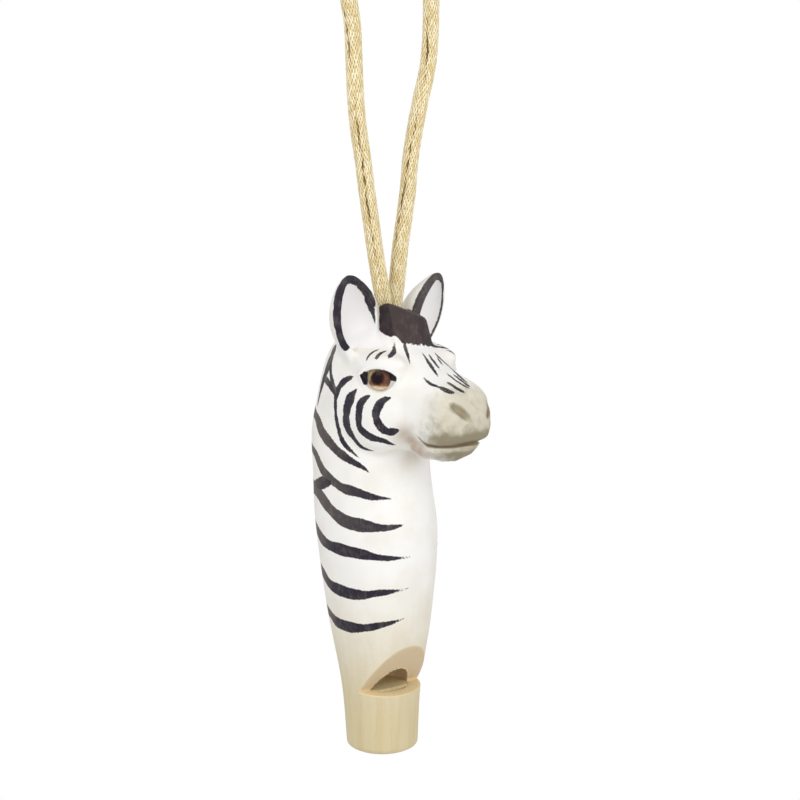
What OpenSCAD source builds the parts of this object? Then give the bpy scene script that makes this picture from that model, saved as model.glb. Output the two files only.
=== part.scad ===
// Carved animal-head whistle on a braided neck cord.
// A zebra's head and neck are carved from one block of wood. The neck ends in a
// whistle: a bored sound chamber, a window with a sloped lip, and a plug whose flat
// leaves the windway. Both ends of the cord are glued into a hole behind the forelock,
// and the whistle hangs with the bight of its cord over a round peg.
// x points out of the muzzle, y to the animal's left and z up, in millimetres.
// The origin is the point of the cord's bight that rests on the peg.

/* [Mouth end] */
// Outside diameter at the mouth end
mouth_d = 14.6; // [13.6:0.1:16]
// Rounding of the mouth end's outer edge
mouth_round = 1.3; // [0.6:0.1:1.6]
// Outside diameter at the ledge of the window
ledge_d = 16.6; // [15.6:0.1:18]
// Diameter of the bored sound chamber
bore_d = 10.6; // [9.4:0.1:11.4]
// Depth of the bore from the mouth end
bore_h = 46; // [38:1:52]
// Length of the plug, which is also the height of the window's ledge
plug_h = 13.6; // [11:0.2:15]
// Gap between the plug and the bore
plug_gap = 0.02; // [0.01:0.01:0.06]
// Height of the windway above the plug's flat
windway_h = 1.3; // [0.9:0.1:1.8]
// Distance from the bore's axis to the inner end of the window's cut
window_reach = 2.2; // [1.4:0.1:2.8]
// Height of the sloped cut that makes the window's lip
ramp_h = 8.2; // [7:0.2:10]
// Slope of the ledge, falling to the front
ledge_tilt = 5; // [0:1:8]
// Turn of the window towards the animal's right
window_turn = 6; // [0:1:10]

/* [Neck] */
// Height of the widest part of the neck
chest_z = 47; // [43:1:51]
// Depth of the neck there, front to back
chest_depth = 26; // [24:0.2:28]
// Width of the neck there
chest_w = 23.8; // [22:0.2:26]
// Depth of the neck under the jaw
throat_depth = 24.6; // [23:0.2:26]
// Width of the neck under the jaw
throat_w = 23; // [21:0.2:25]
// How far the neck leans back under the jaw
neck_lean = 3.5; // [2:0.1:4.5]

/* [Head] */
// Height of the jaw line above the mouth end
jaw_z = 64.4; // [62:0.2:67]
// Height of the poll above the jaw line
head_h = 26.2; // [24:0.2:29]
// Reach of the muzzle in front of the bore's axis
muzzle_x = 26.4; // [24.6:0.2:28]
// Width of the head at the cheeks
cheek_w = 21; // [19:0.2:23]
// Width of the muzzle
muzzle_w = 15.4; // [14:0.2:17]
// Height of the lower lip
lip_h = 5; // [4.4:0.2:5.6]
// How far the lower lip stays behind the muzzle's front
lip_back = 2.6; // [2:0.2:4]

/* [Ears] */
// Height of an ear
ear_h = 16.4; // [14:0.2:19]
// Width of an ear
ear_w = 11.6; // [10:0.2:12.4]
// Depth of an ear's back behind its rim
ear_d = 6.2; // [5:0.2:7]
// Wall left around the ear's hollow
ear_wall = 1.3; // [1:0.1:1.6]
// How far the right ear's opening turns outward
ear_turn_right = 9; // [0:1:25]
// How far the left ear's opening turns outward
ear_turn_left = 13; // [0:1:25]
// How far the ears lean outward
ear_lean = 17; // [10:1:22]
// How far the ears lean forward
ear_tip = 5; // [0:1:12]

/* [Forelock] */
// Length of the tuft, front to back
lock_len = 5.8; // [5.2:0.2:7]
// Width of the tuft
lock_w = 9.2; // [8.4:0.2:10]
// Height of the tuft above the poll
lock_h = 5; // [3:0.2:6]

/* [Eyes] */
// Diameter of the glass eyes
eye_d = 5; // [4:0.1:6]
// Height of an eye's dome above its rim
eye_dome = 1.4; // [1:0.1:1.8]
// Length of an eye's shank
eye_shank = 2.4; // [2:0.1:3]
// Gap between a shank and its socket
eye_gap = 0.05; // [0.02:0.01:0.15]
// How far an eye's rim is sunk in the head's side
eye_sink = 0.7; // [0.4:0.1:1]
// Distance of the eyes in front of the bore's axis
eye_x = 8.8; // [8:0.1:10]
// Height of the eyes above the jaw line
eye_z = 16.5; // [15:0.1:18]

/* [Cord] */
// Diameter of the braided cord
cord_d = 3.6; // [3:0.1:4]
// Gap round the two cord ends in their hole
cord_gap = 0.2; // [0.1:0.05:0.4]
// Depth of the cord hole below the poll
cord_hole_h = 12; // [9:0.5:15]
// Distance of the cord hole in front of the bore's axis
cord_hole_x = 2.2; // [1.6:0.1:2.6]
// Turn of the two cord ends in their hole
strand_turn = 13; // [0:1:25]
// Diameter of the peg that the bight hangs on
peg_d = 21.5; // [19:0.5:26]
// Height of the free strands between the poll and the bight
strand_h = 70; // [60:1:80]

/* [Hidden] */
$fn = 64;

bore_r = bore_d / 2;
cord_hole_r = cord_d + cord_gap;
poll_z = jaw_z + head_h;

// Facets round the carved forms
body_sides = 32;
head_sides = 28;
leaf_sides = 18;
blob_sides = 14;

// The neck's sections: height, middle in x, half depth and half width
neck_rows = [
  [0, 0, mouth_d / 2, mouth_d / 2],
  [plug_h, -0.3, ledge_d / 2, ledge_d / 2 - 0.2],
  [(plug_h + chest_z) / 2, -0.8, chest_depth * 0.43, chest_w * 0.44],
  [chest_z, -1.6, chest_depth / 2, chest_w / 2],
  [jaw_z - 5, -neck_lean + 0.3, throat_depth / 2 + 0.2, throat_w / 2 + 0.1],
  [jaw_z + 4, -neck_lean, throat_depth / 2, throat_w / 2 - 0.1],
  [jaw_z + head_h * 0.62, -neck_lean + 0.9, throat_depth / 2 - 2, throat_w / 2 - 1.5],
  [jaw_z + head_h * 0.84, -neck_lean + 1.9, throat_depth / 2 - 3.9, throat_w / 2 - 3],
  [poll_z - 1.6, -neck_lean + 3, throat_depth / 2 - 6.2, throat_w / 2 - 4.9],
  [poll_z - 0.4, -neck_lean + 3.6, throat_depth / 2 - 8.4, throat_w / 2 - 6.7],
  [poll_z, -neck_lean + 4, throat_depth / 2 - 10.4, throat_w / 2 - 8.6]
];

// The head's sections along x: share of the way to the muzzle's front, then top and
// widest level as shares of the head's height, underside likewise, and half width
head_rows = [
  [-0.30, 0.80, 0.45, 0.10, cheek_w * 0.36],
  [-0.12, 0.96, 0.45, 0.03, cheek_w * 0.46],
  [0.10, 0.99, 0.46, 0.03, cheek_w * 0.50],
  [0.28, 0.92, 0.47, 0.03, cheek_w * 0.50],
  [0.42, 0.82, 0.46, 0.04, cheek_w * 0.47],
  [0.56, 0.73, 0.42, 0.06, cheek_w * 0.40],
  [0.70, 0.665, 0.39, 0.11, muzzle_w * 0.475],
  [0.84, 0.605, 0.36, 0.11, muzzle_w * 0.48],
  [0.94, 0.545, 0.35, 0.13, muzzle_w * 0.45],
  [0.985, 0.49, 0.34, 0.17, muzzle_w * 0.38],
  [1, 0.43, 0.34, 0.23, muzzle_w * 0.28]
];

// Straight-sidedness of the carved sections: 2 is an ellipse
neck_square = 2.15;
head_square = 2.3;
nose_square = 2.9;
function squareness(s) = head_square + (nose_square - head_square) * min(max((s - 0.5) / 0.3, 0), 1);

// A smooth value through the rows' column c at key t
function row_at(rows, t, i = 0) =
  i >= len(rows) - 2 || t < rows[i + 1][0] ? i : row_at(rows, t, i + 1);
function row_slope(rows, i, c) =
  let (a = max(i - 1, 0), b = min(i + 1, len(rows) - 1))
  (rows[b][c] - rows[a][c]) / (rows[b][0] - rows[a][0]);
function along(rows, t, c) =
  let (
    i = row_at(rows, t),
    h = rows[i + 1][0] - rows[i][0],
    s = (t - rows[i][0]) / h,
    p = rows[i][c],
    q = rows[i + 1][c],
    u = h * row_slope(rows, i, c),
    v = h * row_slope(rows, i + 1, c)
  )
  p + s * (u + s * (3 * (q - p) - 2 * u - v + s * (2 * (p - q) + u + v)));

// A point of a superellipse with semi-axes a and b
function bent(v, n) = sign(v) * pow(abs(v), 2 / n);
function oval(a, b, angle, n) = [a * bent(cos(angle), n), b * bent(sin(angle), n)];

// A closed skin over rings of equal point counts, fanned over both ends
function ring_middle(ring) = [for (c = [0:2]) let (s = [for (p = ring) p[c]]) total(s) / len(s)];
function total(v, i = 0) = i < len(v) ? v[i] + total(v, i + 1) : 0;
module skin(rings) {
  n = len(rings[0]);
  last = len(rings) - 1;
  points = concat([for (r = rings) each r], [ring_middle(rings[0]), ring_middle(rings[last])]);
  sides = [
    for (i = [0:last - 1], j = [0:n - 1])
      let (a = i * n + j, b = i * n + (j + 1) % n)
      each [[a, a + n, b], [b, a + n, b + n]]
  ];
  bottom = [for (j = [0:n - 1]) [(last + 1) * n, j, (j + 1) % n]];
  top = [for (j = [0:n - 1]) [(last + 1) * n + 1, last * n + (j + 1) % n, last * n + j]];
  polyhedron(points, concat(sides, bottom, top));
}

// An egg-shaped form of the given radii
module blob(radii, sides = blob_sides) {
  steps = sides / 2;
  skin([
    for (i = [0.25:steps - 0.25])
      let (lat = -90 + 180 * i / (steps - 0.5))
      [
        for (j = [0:sides - 1])
          let (lon = 360 * j / sides)
          [radii[0] * cos(lat) * cos(lon), radii[1] * cos(lat) * sin(lon), radii[2] * sin(lat)]
      ]
  ]);
}

// The neck, from the rounded mouth end to the poll
function end_inset(z) =
  z >= mouth_round ? 0 : mouth_round - sqrt(pow(mouth_round, 2) - pow(mouth_round - z, 2));
function neck_ring(z) = [
  for (j = [0:body_sides - 1])
    let (
      p = oval(
        along(neck_rows, z, 2) - end_inset(z),
        along(neck_rows, z, 3) - end_inset(z),
        360 * j / body_sides,
        neck_square
      )
    )
    [along(neck_rows, z, 1) + p[0], p[1], z]
];
neck_levels = concat(
  [for (i = [0:3]) mouth_round * (1 - cos(30 * i))],
  [for (i = [1:25]) mouth_round + (poll_z - 1.6 - mouth_round) * i / 25],
  [poll_z - 0.9, poll_z - 0.4, poll_z]
);
module neck_form() {
  skin([for (z = neck_levels) neck_ring(z)]);
}

// The head, from inside the neck to the muzzle's front
function head_level(share) = jaw_z + head_h * share;
function head_ring(s) =
  let (
    top = head_level(along(head_rows, s, 1)),
    wide = head_level(along(head_rows, s, 2)),
    under = head_level(along(head_rows, s, 3))
  )
  [
    for (j = [0:head_sides - 1])
      let (p = oval(along(head_rows, s, 4), 1, 360 * j / head_sides, squareness(s)))
      [muzzle_x * s, p[0], wide + p[1] * (p[1] > 0 ? top - wide : wide - under)]
  ];
head_steps = concat(
  [for (i = [0:17]) -0.30 + 1.19 * i / 17],
  [0.925, 0.955, 0.975, 0.99, 1]
);
module head_form() {
  skin([for (s = head_steps) head_ring(s)]);
}
// Half width of the head at a place on its side
function head_side(x, z) =
  let (
    s = x / muzzle_x,
    wide = head_level(along(head_rows, s, 2)),
    top = head_level(along(head_rows, s, 1)),
    rise = (z - wide) / (top - wide)
  )
  along(head_rows, s, 4) * pow(1 - pow(rise, squareness(s)), 1 / squareness(s));

// The swell of the muzzle and the upper lip
module muzzle_form() {
  translate([muzzle_x * 0.74, 0, jaw_z + head_h * 0.26])
    blob([muzzle_x * 0.25, muzzle_w * 0.505, head_h * 0.236], 18);
}

// The lower lip, set back under the muzzle
lip_len = muzzle_x * 0.24;
module lip_form() {
  translate([muzzle_x - lip_back - lip_len, 0, jaw_z + lip_h / 2 + 0.3])
    blob([lip_len, muzzle_w * 0.42, lip_h / 2 + 0.6]);
}

// Both sides of the head
module both_sides() {
  for (side = [-1, 1]) scale([1, side, 1]) children();
}

// A round cheek behind the jaw
module cheek_form() {
  translate([muzzle_x * 0.174, cheek_w * 0.343, jaw_z + head_h * 0.336])
    blob([muzzle_x * 0.35, cheek_w * 0.233, head_h * 0.313], 20);
}

// A brow over the eye
module brow_form() {
  translate([eye_x - 0.4, head_side(eye_x, jaw_z + eye_z) - 2.3, jaw_z + eye_z + 3])
    rotate(-14) blob([5.8, 3, 2.6], 20);
}

// A slit nostril, slanting down to the front
nostril_at = [muzzle_x - 0.7, muzzle_w * 0.25, jaw_z + head_h * 0.44];
module nostril_cut() {
  translate(nostril_at) rotate([0, 38, -46]) rotate([-61, 0, 0]) blob([2.8, 1, 1.3]);
}

// A cupped leaf, its hollow towards +x: share of its height, then width and depth. Its foot
// is seated in the head
leaf_rows = [
  [-0.18, 0.34, 0.5],
  [0, 0.62, 0.9],
  [0.2, 0.86, 1],
  [0.42, 1, 0.98],
  [0.65, 0.86, 0.76],
  [0.84, 0.55, 0.45],
  [0.95, 0.26, 0.22],
  [1, 0.08, 0.1]
];
// The scooped hollow runs out at its foot
hollow_rows = [
  [0, 0.40, 0.05],
  [0.12, 0.62, 0.32],
  [0.26, 0.88, 0.74],
  [0.45, 1, 0.98],
  [0.65, 0.88, 0.8],
  [0.84, 0.58, 0.5],
  [0.95, 0.3, 0.26],
  [1, 0.1, 0.1]
];
leaf_steps = 13;
function leaf_ring(rows, share, w, back, front, up) = [
  for (j = [0:leaf_sides - 1])
    let (p = oval(along(rows, share, 2), w / 2 * along(rows, share, 1), 360 * j / leaf_sides, 2))
    [p[0] * (p[0] < 0 ? back : front), p[1], up * share]
];
module leaf(rows, w, back, front, up) {
  foot = rows[0][0];
  skin([for (i = [0:leaf_steps]) leaf_ring(rows, foot + (1 - foot) * i / leaf_steps, w, back, front, up)]);
}
ear_root = [2.4, cheek_w * 0.42, poll_z - 5.2];
module ear_form(outward) {
  translate(ear_root) rotate([-ear_lean, ear_tip, 0]) rotate(outward) difference() {
    leaf(leaf_rows, ear_w, ear_d, ear_wall, ear_h);
    leaf(hollow_rows, ear_w - 2 * ear_wall, ear_d - 2 * ear_wall, 3 * ear_d, ear_h - ear_wall);
  }
}

// The tuft on the forehead, left by flat chisel cuts: each cut's outward direction, and its
// distance from the tuft's middle
lock_middle = [cord_hole_x + 4.6, 0, poll_z - 2.6];
lock_cuts = [
  [[0.98, -0.20, 0.22], lock_len / 2 - 0.2],
  [[0.98, 0.22, 0.22], lock_len / 2 - 0.2],
  [[0, -1, -0.03], lock_w / 2],
  [[0, 1, 0.18], lock_w / 2],
  [[-1, 0, 0.02], lock_len / 2],
  [[-0.75, -0.66, 0], lock_w / 2 + 0.4],
  [[-0.75, 0.66, 0], lock_w / 2 - 0.4],
  [[-0.35, 0.10, 0.93], lock_h + 1.75],
  [[0.30, 0.10, 0.95], lock_h + 1.8],
  [[0.20, 0.60, 0.77], lock_h + 1.2],
  [[0.10, -0.55, 0.83], lock_h + 3.75],
  [[0.75, 0.05, 0.66], lock_h],
  [[0.55, 0.55, 0.63], lock_h + 0.7],
  [[0, 0, -1], 6.5]
];
module half_space(out, far) {
  reach = 2 * head_h;
  rotate([0, acos(out[2] / norm(out)), atan2(out[1], out[0])])
    translate([-reach, -reach, far - 2 * reach]) cube(2 * reach);
}
module lock_form() {
  translate(lock_middle) intersection_for (cut = lock_cuts) half_space(cut[0], cut[1]);
}

// Where an eye sits, and which way it looks
eye_at = [eye_x, head_side(eye_x, jaw_z + eye_z), jaw_z + eye_z];
eye_yaw = 22;
module at_eye() {
  translate(eye_at) rotate([-90, 0, -eye_yaw]) translate([0, 0, -eye_sink]) children();
}

// All carved forms under one skin
module carved_forms() {
  resize([0, 0, 0]) difference() {
    union() {
      neck_form();
      head_form();
      muzzle_form();
      lip_form();
      lock_form();
      both_sides() {
        cheek_form();
        brow_form();
      }
      ear_form(ear_turn_left);
      scale([1, -1, 1]) ear_form(ear_turn_right);
    }
    both_sides() nostril_cut();
  }
}

// The window: a ledge cut square to the bore and a slope down to its inner end
window_out = ledge_d;
module window_cut() {
  rotate(-window_turn) translate([window_reach, 0, plug_h]) rotate([90, 0, 0])
    linear_extrude(height = 2 * window_out, center = true)
      polygon([
        [0, 0],
        [window_out, -window_out * tan(ledge_tilt)],
        [window_out, window_out * ramp_h / (ledge_d / 2 - window_reach)]
      ]);
}

// Everything but the cord is drawn above the mouth end and then hung from the peg
hang_h = poll_z + strand_h + peg_d / 2;
module hung() {
  translate([-cord_hole_x, 0, -hang_h]) children();
}

module carved_body() {
  color("whitesmoke") hung() difference() {
    carved_forms();
    translate([0, 0, -1]) cylinder(r = bore_r, h = bore_h + 1);
    window_cut();
    translate([cord_hole_x, 0, poll_z - cord_hole_h]) cylinder(r = cord_hole_r, h = cord_hole_h + 2 * lock_h);
    both_sides() at_eye()
      translate([0, 0, -eye_shank - eye_gap]) cylinder(r = eye_d / 2 + eye_gap, h = eye_shank + 3);
  }
}

// The plug, with the flat that leaves the windway
module fipple_plug() {
  color("burlywood") hung() difference() {
    cylinder(r = bore_r - plug_gap, h = plug_h);
    rotate(-window_turn)
      translate([bore_r - windway_h, -bore_r, -1]) cube([bore_d, bore_d, plug_h + 2]);
  }
}

// A glass eye: a dome on a short shank
dome_r = (pow(eye_d / 2, 2) + pow(eye_dome, 2)) / (2 * eye_dome);
module eye() {
  intersection() {
    translate([0, 0, eye_dome - dome_r]) sphere(r = dome_r);
    translate([0, 0, -eye_shank]) cylinder(r = eye_d / 2, h = eye_shank + eye_dome);
  }
}
module eye_left() {
  color("saddlebrown") hung() at_eye() eye();
}
module eye_right() {
  color("saddlebrown") hung() scale([1, -1, 1]) at_eye() eye();
}

// The cord's route, from one end up round the peg and down to the other: each strand is
// given as shares of its height above the poll and of its way out to the peg's side
strand_at = cord_d / 2 + cord_gap / 2;
strand_in = strand_at * cos(strand_turn);
strand_fore = strand_at * sin(strand_turn);
strand_out = peg_d / 2 + cord_d / 2;
right_rows = [
  [0, 0], [0.05, 0.005], [0.09, 0.05], [0.13, 0.115], [0.22, 0.24], [0.3, 0.34], [0.39, 0.45],
  [0.48, 0.55], [0.56, 0.655], [0.65, 0.73], [0.76, 0.77], [0.86, 0.81], [0.93, 0.91],
  [0.98, 0.99], [1, 1]
];
left_rows = [
  [0, 0], [0.05, 0.005], [0.09, 0.04], [0.13, 0.085], [0.22, 0.165], [0.31, 0.28],
  [0.39, 0.375], [0.48, 0.445], [0.56, 0.56], [0.65, 0.72], [0.71, 0.85], [0.76, 0.93],
  [0.82, 0.98], [0.9, 1], [1, 1]
];
poll_at = -hang_h + poll_z;
function strand(rows, side) = concat(
  [for (h = [-cord_hole_h, -cord_hole_h / 2]) [-side * strand_fore, side * strand_in, poll_at + h]],
  [
    for (r = rows)
      [
        -side * strand_fore,
        side * (strand_in + (strand_out - strand_in) * r[1]),
        poll_at + strand_h * r[0]
      ]
  ]
);
function backward(list) = [for (i = [len(list) - 1:-1:0]) list[i]];
bight_steps = 14;
bight = [
  for (i = [1:bight_steps - 1])
    let (a = 180 - 180 * i / bight_steps)
    [-strand_fore * cos(a), strand_out * cos(a), -peg_d / 2 + strand_out * sin(a)]
];
cord_route = concat(strand(right_rows, -1), bight, backward(strand(left_rows, 1)));

// A round tube swept along a route that stays near the plane of y and z
tube_sides = 8;
function unit(v) = v / norm(v);
function heading(route, i) =
  unit(route[min(i + 1, len(route) - 1)] - route[max(i - 1, 0)]);
function tube_ring(route, i, r) =
  let (across = cross(heading(route, i), [1, 0, 0]))
  [
    for (j = [0:tube_sides - 1])
      let (a = 360 * (j + 0.5) / tube_sides)
      route[i] + r * (cos(a) * [1, 0, 0] - sin(a) * across)
  ];
module tube(route, r) {
  skin([for (i = [0:len(route) - 1]) tube_ring(route, i, r)]);
}
module neck_cord() {
  color("tan") tube(cord_route, cord_d / 2);
}

carved_body();
fipple_plug();
eye_right();
eye_left();
neck_cord();
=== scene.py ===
"""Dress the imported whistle: a zebra's head carved on a fipple whistle, on its braided cord.

The carving is sculpted as a field of distances in millimetres, in the whistle's own frame: x out of
the muzzle, y to the animal's left and z up from the mouth end, with the bore on the z axis. Datum
takes those millimetres to the row frame's metres. Brush strokes are laid where the photograph shows
them: their pixels are sent along the camera's rays to the carving, and their mirror twins go on the
side that the camera doesn't see.
"""

import logging
import math
from dataclasses import dataclass
from enum import Enum
from functools import reduce

import bpy
import numpy as np
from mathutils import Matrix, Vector

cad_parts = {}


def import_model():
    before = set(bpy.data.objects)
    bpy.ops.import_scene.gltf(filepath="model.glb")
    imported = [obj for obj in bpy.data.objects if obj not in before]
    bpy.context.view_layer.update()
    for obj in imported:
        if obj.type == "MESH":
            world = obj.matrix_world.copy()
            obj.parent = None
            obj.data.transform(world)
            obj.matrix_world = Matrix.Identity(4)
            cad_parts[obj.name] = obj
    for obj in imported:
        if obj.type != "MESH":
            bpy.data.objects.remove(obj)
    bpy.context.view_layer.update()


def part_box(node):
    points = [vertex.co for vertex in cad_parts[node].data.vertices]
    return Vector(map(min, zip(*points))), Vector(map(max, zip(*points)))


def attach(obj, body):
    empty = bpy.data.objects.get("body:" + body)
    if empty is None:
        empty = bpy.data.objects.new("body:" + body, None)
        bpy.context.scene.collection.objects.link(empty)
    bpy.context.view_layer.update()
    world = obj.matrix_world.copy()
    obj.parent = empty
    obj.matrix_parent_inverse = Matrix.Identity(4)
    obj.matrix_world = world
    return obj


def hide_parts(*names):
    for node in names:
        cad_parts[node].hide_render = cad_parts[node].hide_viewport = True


log = logging.getLogger("whistle")

Array = np.ndarray
Piece = bpy.types.Object
Socket = bpy.types.NodeSocket
Colour = tuple[float, float, float]
Spot = tuple[float, float, float]
Span = tuple[float, float]
Rows = tuple[tuple[float, ...], ...]

BODY = "root"
MM = 0.001
# Millimetres given to a point that a mark or a cut doesn't reach
FAR = 5.0
DEEP = 9.0


# Numbers and fields


def srgb(red: int, green: int, blue: int) -> Colour:
    """Linear colour of an sRGB colour in steps of 0 to 255."""
    shares = (red / 255.0, green / 255.0, blue / 255.0)
    return tuple(c / 12.92 if c <= 0.04045 else ((c + 0.055) / 1.055) ** 2.4 for c in shares)


def smooth_step(low: float, high: float, value: Array) -> Array:
    """A soft step from 0 at low to 1 at high."""
    t = np.clip((value - low) / (high - low), 0.0, 1.0)
    return t * t * (3.0 - 2.0 * t)


def soft_min(a: Array, b: Array, k: float | Array) -> Array:
    """Union of two fields with a fillet about k wide."""
    h = np.clip(0.5 + 0.5 * (b - a) / k, 0.0, 1.0)
    return b + (a - b) * h - k * h * (1.0 - h)


def soft_max(a: Array, b: Array, k: float | Array) -> Array:
    """Intersection of two fields with a fillet about k wide."""
    return -soft_min(-a, -b, k)


def round_max(a: Array, b: Array, radius: float) -> Array:
    """Intersection of two fields with a round edge of that radius.

    Args:
        a: Distances to one form.
        b: Distances to the other.
        radius: Radius of the edge.

    Returns:
        Distances to what both forms share.
    """
    u, v = a + radius, b + radius
    corner = np.hypot(np.maximum(u, 0.0), np.maximum(v, 0.0))
    return np.minimum(np.maximum(u, v), 0.0) + corner - radius


def through(rows: Rows, t: Array) -> Array:
    """Smooth values through rows of a key and its values.

    Args:
        rows: The key and its values, in order of the key.
        t: The keys to read at.

    Returns:
        One row of values for each key.
    """
    table = np.array(rows, float)
    keys, values = table[:, 0], table[:, 1:]
    slopes = np.gradient(values, keys, axis=0, edge_order=1)
    slopes[1:-1] = (values[2:] - values[:-2]) / (keys[2:] - keys[:-2])[:, None]
    i = np.clip(np.searchsorted(keys, t, side="right") - 1, 0, len(keys) - 2)
    h = (keys[i + 1] - keys[i])[:, None]
    s = np.clip((t - keys[i])[:, None] / h, 0.0, 1.0)
    p, q, u, v = values[i], values[i + 1], h * slopes[i], h * slopes[i + 1]
    return p + s * (u + s * (3 * (q - p) - 2 * u - v + s * (2 * (p - q) + u + v)))


def oval(u: Array, v: Array, a: Array | float, b: Array | float, power: Array | float) -> Array:
    """Distance to a superellipse with semi-axes a and b, along the line from its middle.

    Args:
        u: Places along its first axis.
        v: Places along its second axis.
        a: Half of its first axis.
        b: Half of its second axis.
        power: 2 for an ellipse, and more for a squarer form.

    Returns:
        One distance for each place.
    """
    core = 0.05
    share = (np.abs(u / a) ** power + np.abs(v / b) ** power) ** (1.0 / power)
    reach = np.hypot(u, v)
    inner = -np.minimum(a, b) * np.ones_like(reach)
    return np.where(share < core, inner, reach - reach / np.maximum(share, core))


def turn(axis: int, degrees: float) -> Array:
    """Matrix of a right-handed turn about the x, y or z axis.

    Args:
        axis: 0, 1 or 2 for x, y or z.
        degrees: How far to turn.

    Returns:
        The matrix.
    """
    c, s = math.cos(math.radians(degrees)), math.sin(math.radians(degrees))
    m = np.eye(3)
    i, j = (axis + 1) % 3, (axis + 2) % 3
    m[i, i], m[i, j], m[j, i], m[j, j] = c, -s, s, c
    return m


def fold(p: Array, side: float = 1.0) -> Array:
    """Points brought over to the animal's left, or to its right where side is -1."""
    return np.column_stack([p[:, 0], side * np.abs(p[:, 1]), p[:, 2]])


def ripple(p: Array, size: float, seed: int) -> Array:
    """Smooth hand-made unevenness between about -1 and 1, with waves about size long.

    Args:
        p: The points.
        size: Length of the waves.
        seed: Seed of the waves' directions.

    Returns:
        One number for each point.
    """
    count, crest = 7, 4.0
    rng = np.random.default_rng(seed)
    waves = rng.normal(size=(count, 3))
    waves *= (2.0 * math.pi / size) / np.linalg.norm(waves, axis=1)[:, None]
    phase = rng.uniform(0.0, 2.0 * math.pi, count)
    return np.sin(p @ waves.T + phase).sum(axis=1) / crest


@dataclass(frozen=True)
class Egg:
    """An ellipsoid, by its middle and its radii."""

    middle: Spot
    radii: Spot

    def distance(self, p: Array) -> Array:
        """Distance to it at points, near enough.

        Args:
            p: The points.

        Returns:
            One distance for each point.
        """
        q = (p - np.array(self.middle)) / np.array(self.radii)
        k = np.linalg.norm(q, axis=1)
        g = np.linalg.norm(q / np.array(self.radii), axis=1)
        return k * (k - 1.0) / np.maximum(g, 1e-6)


@dataclass(frozen=True)
class Chisel:
    """Flat cuts spread over a ball, as a chisel leaves them."""

    middle: Spot
    count: int
    twist: float = 1.02
    seed: int = 4

    def lean(self, p: Array) -> Array:
        """Cosine between each point's direction from the middle and each cut's.

        Args:
            p: The points.

        Returns:
            One row for each point, with a cosine for each cut.
        """
        i = np.arange(self.count) + 0.5
        z = 1.0 - 2.0 * i / self.count
        a = math.pi * (3.0 - math.sqrt(5.0)) * i * self.twist
        cuts = np.stack([np.sqrt(1 - z * z) * np.cos(a), np.sqrt(1 - z * z) * np.sin(a), z], axis=1)
        q = p - np.array(self.middle)
        return (q / np.maximum(np.linalg.norm(q, axis=1), 1e-6)[:, None]) @ cuts.T

    def rise(self, p: Array) -> Array:
        """How far the cuts' edges stand out of a unit ball at points: 0 in mid cut."""
        return 1.0 / self.lean(p).max(axis=1) - 1.0

    def tone(self, p: Array) -> Array:
        """A number of 0 to 1 for the cut that each point is on."""
        tones = np.random.default_rng(self.seed).uniform(size=self.count)
        return tones[self.lean(p).argmax(axis=1)]


# Places


@dataclass(frozen=True)
class Datum:
    """Where the whistle's own frame sits in the row frame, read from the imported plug."""

    origin: Vector

    @classmethod
    def from_frame(cls) -> "Datum":
        """The mouth end's middle on the bore's axis.

        Returns:
            The datum.
        """
        low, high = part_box("fipple_plug")
        radius = (high.y - low.y) / 2.0
        return cls(Vector((low.x + radius, (low.y + high.y) / 2.0, low.z)))

    def to_row(self, points: Array) -> Array:
        """Millimetres on the whistle to metres in the row frame."""
        return np.asarray(points, float) * MM + np.array(self.origin)

    def from_row(self, point: Vector) -> Array:
        """Metres in the row frame to millimetres on the whistle."""
        return np.array(point - self.origin) / MM


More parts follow.
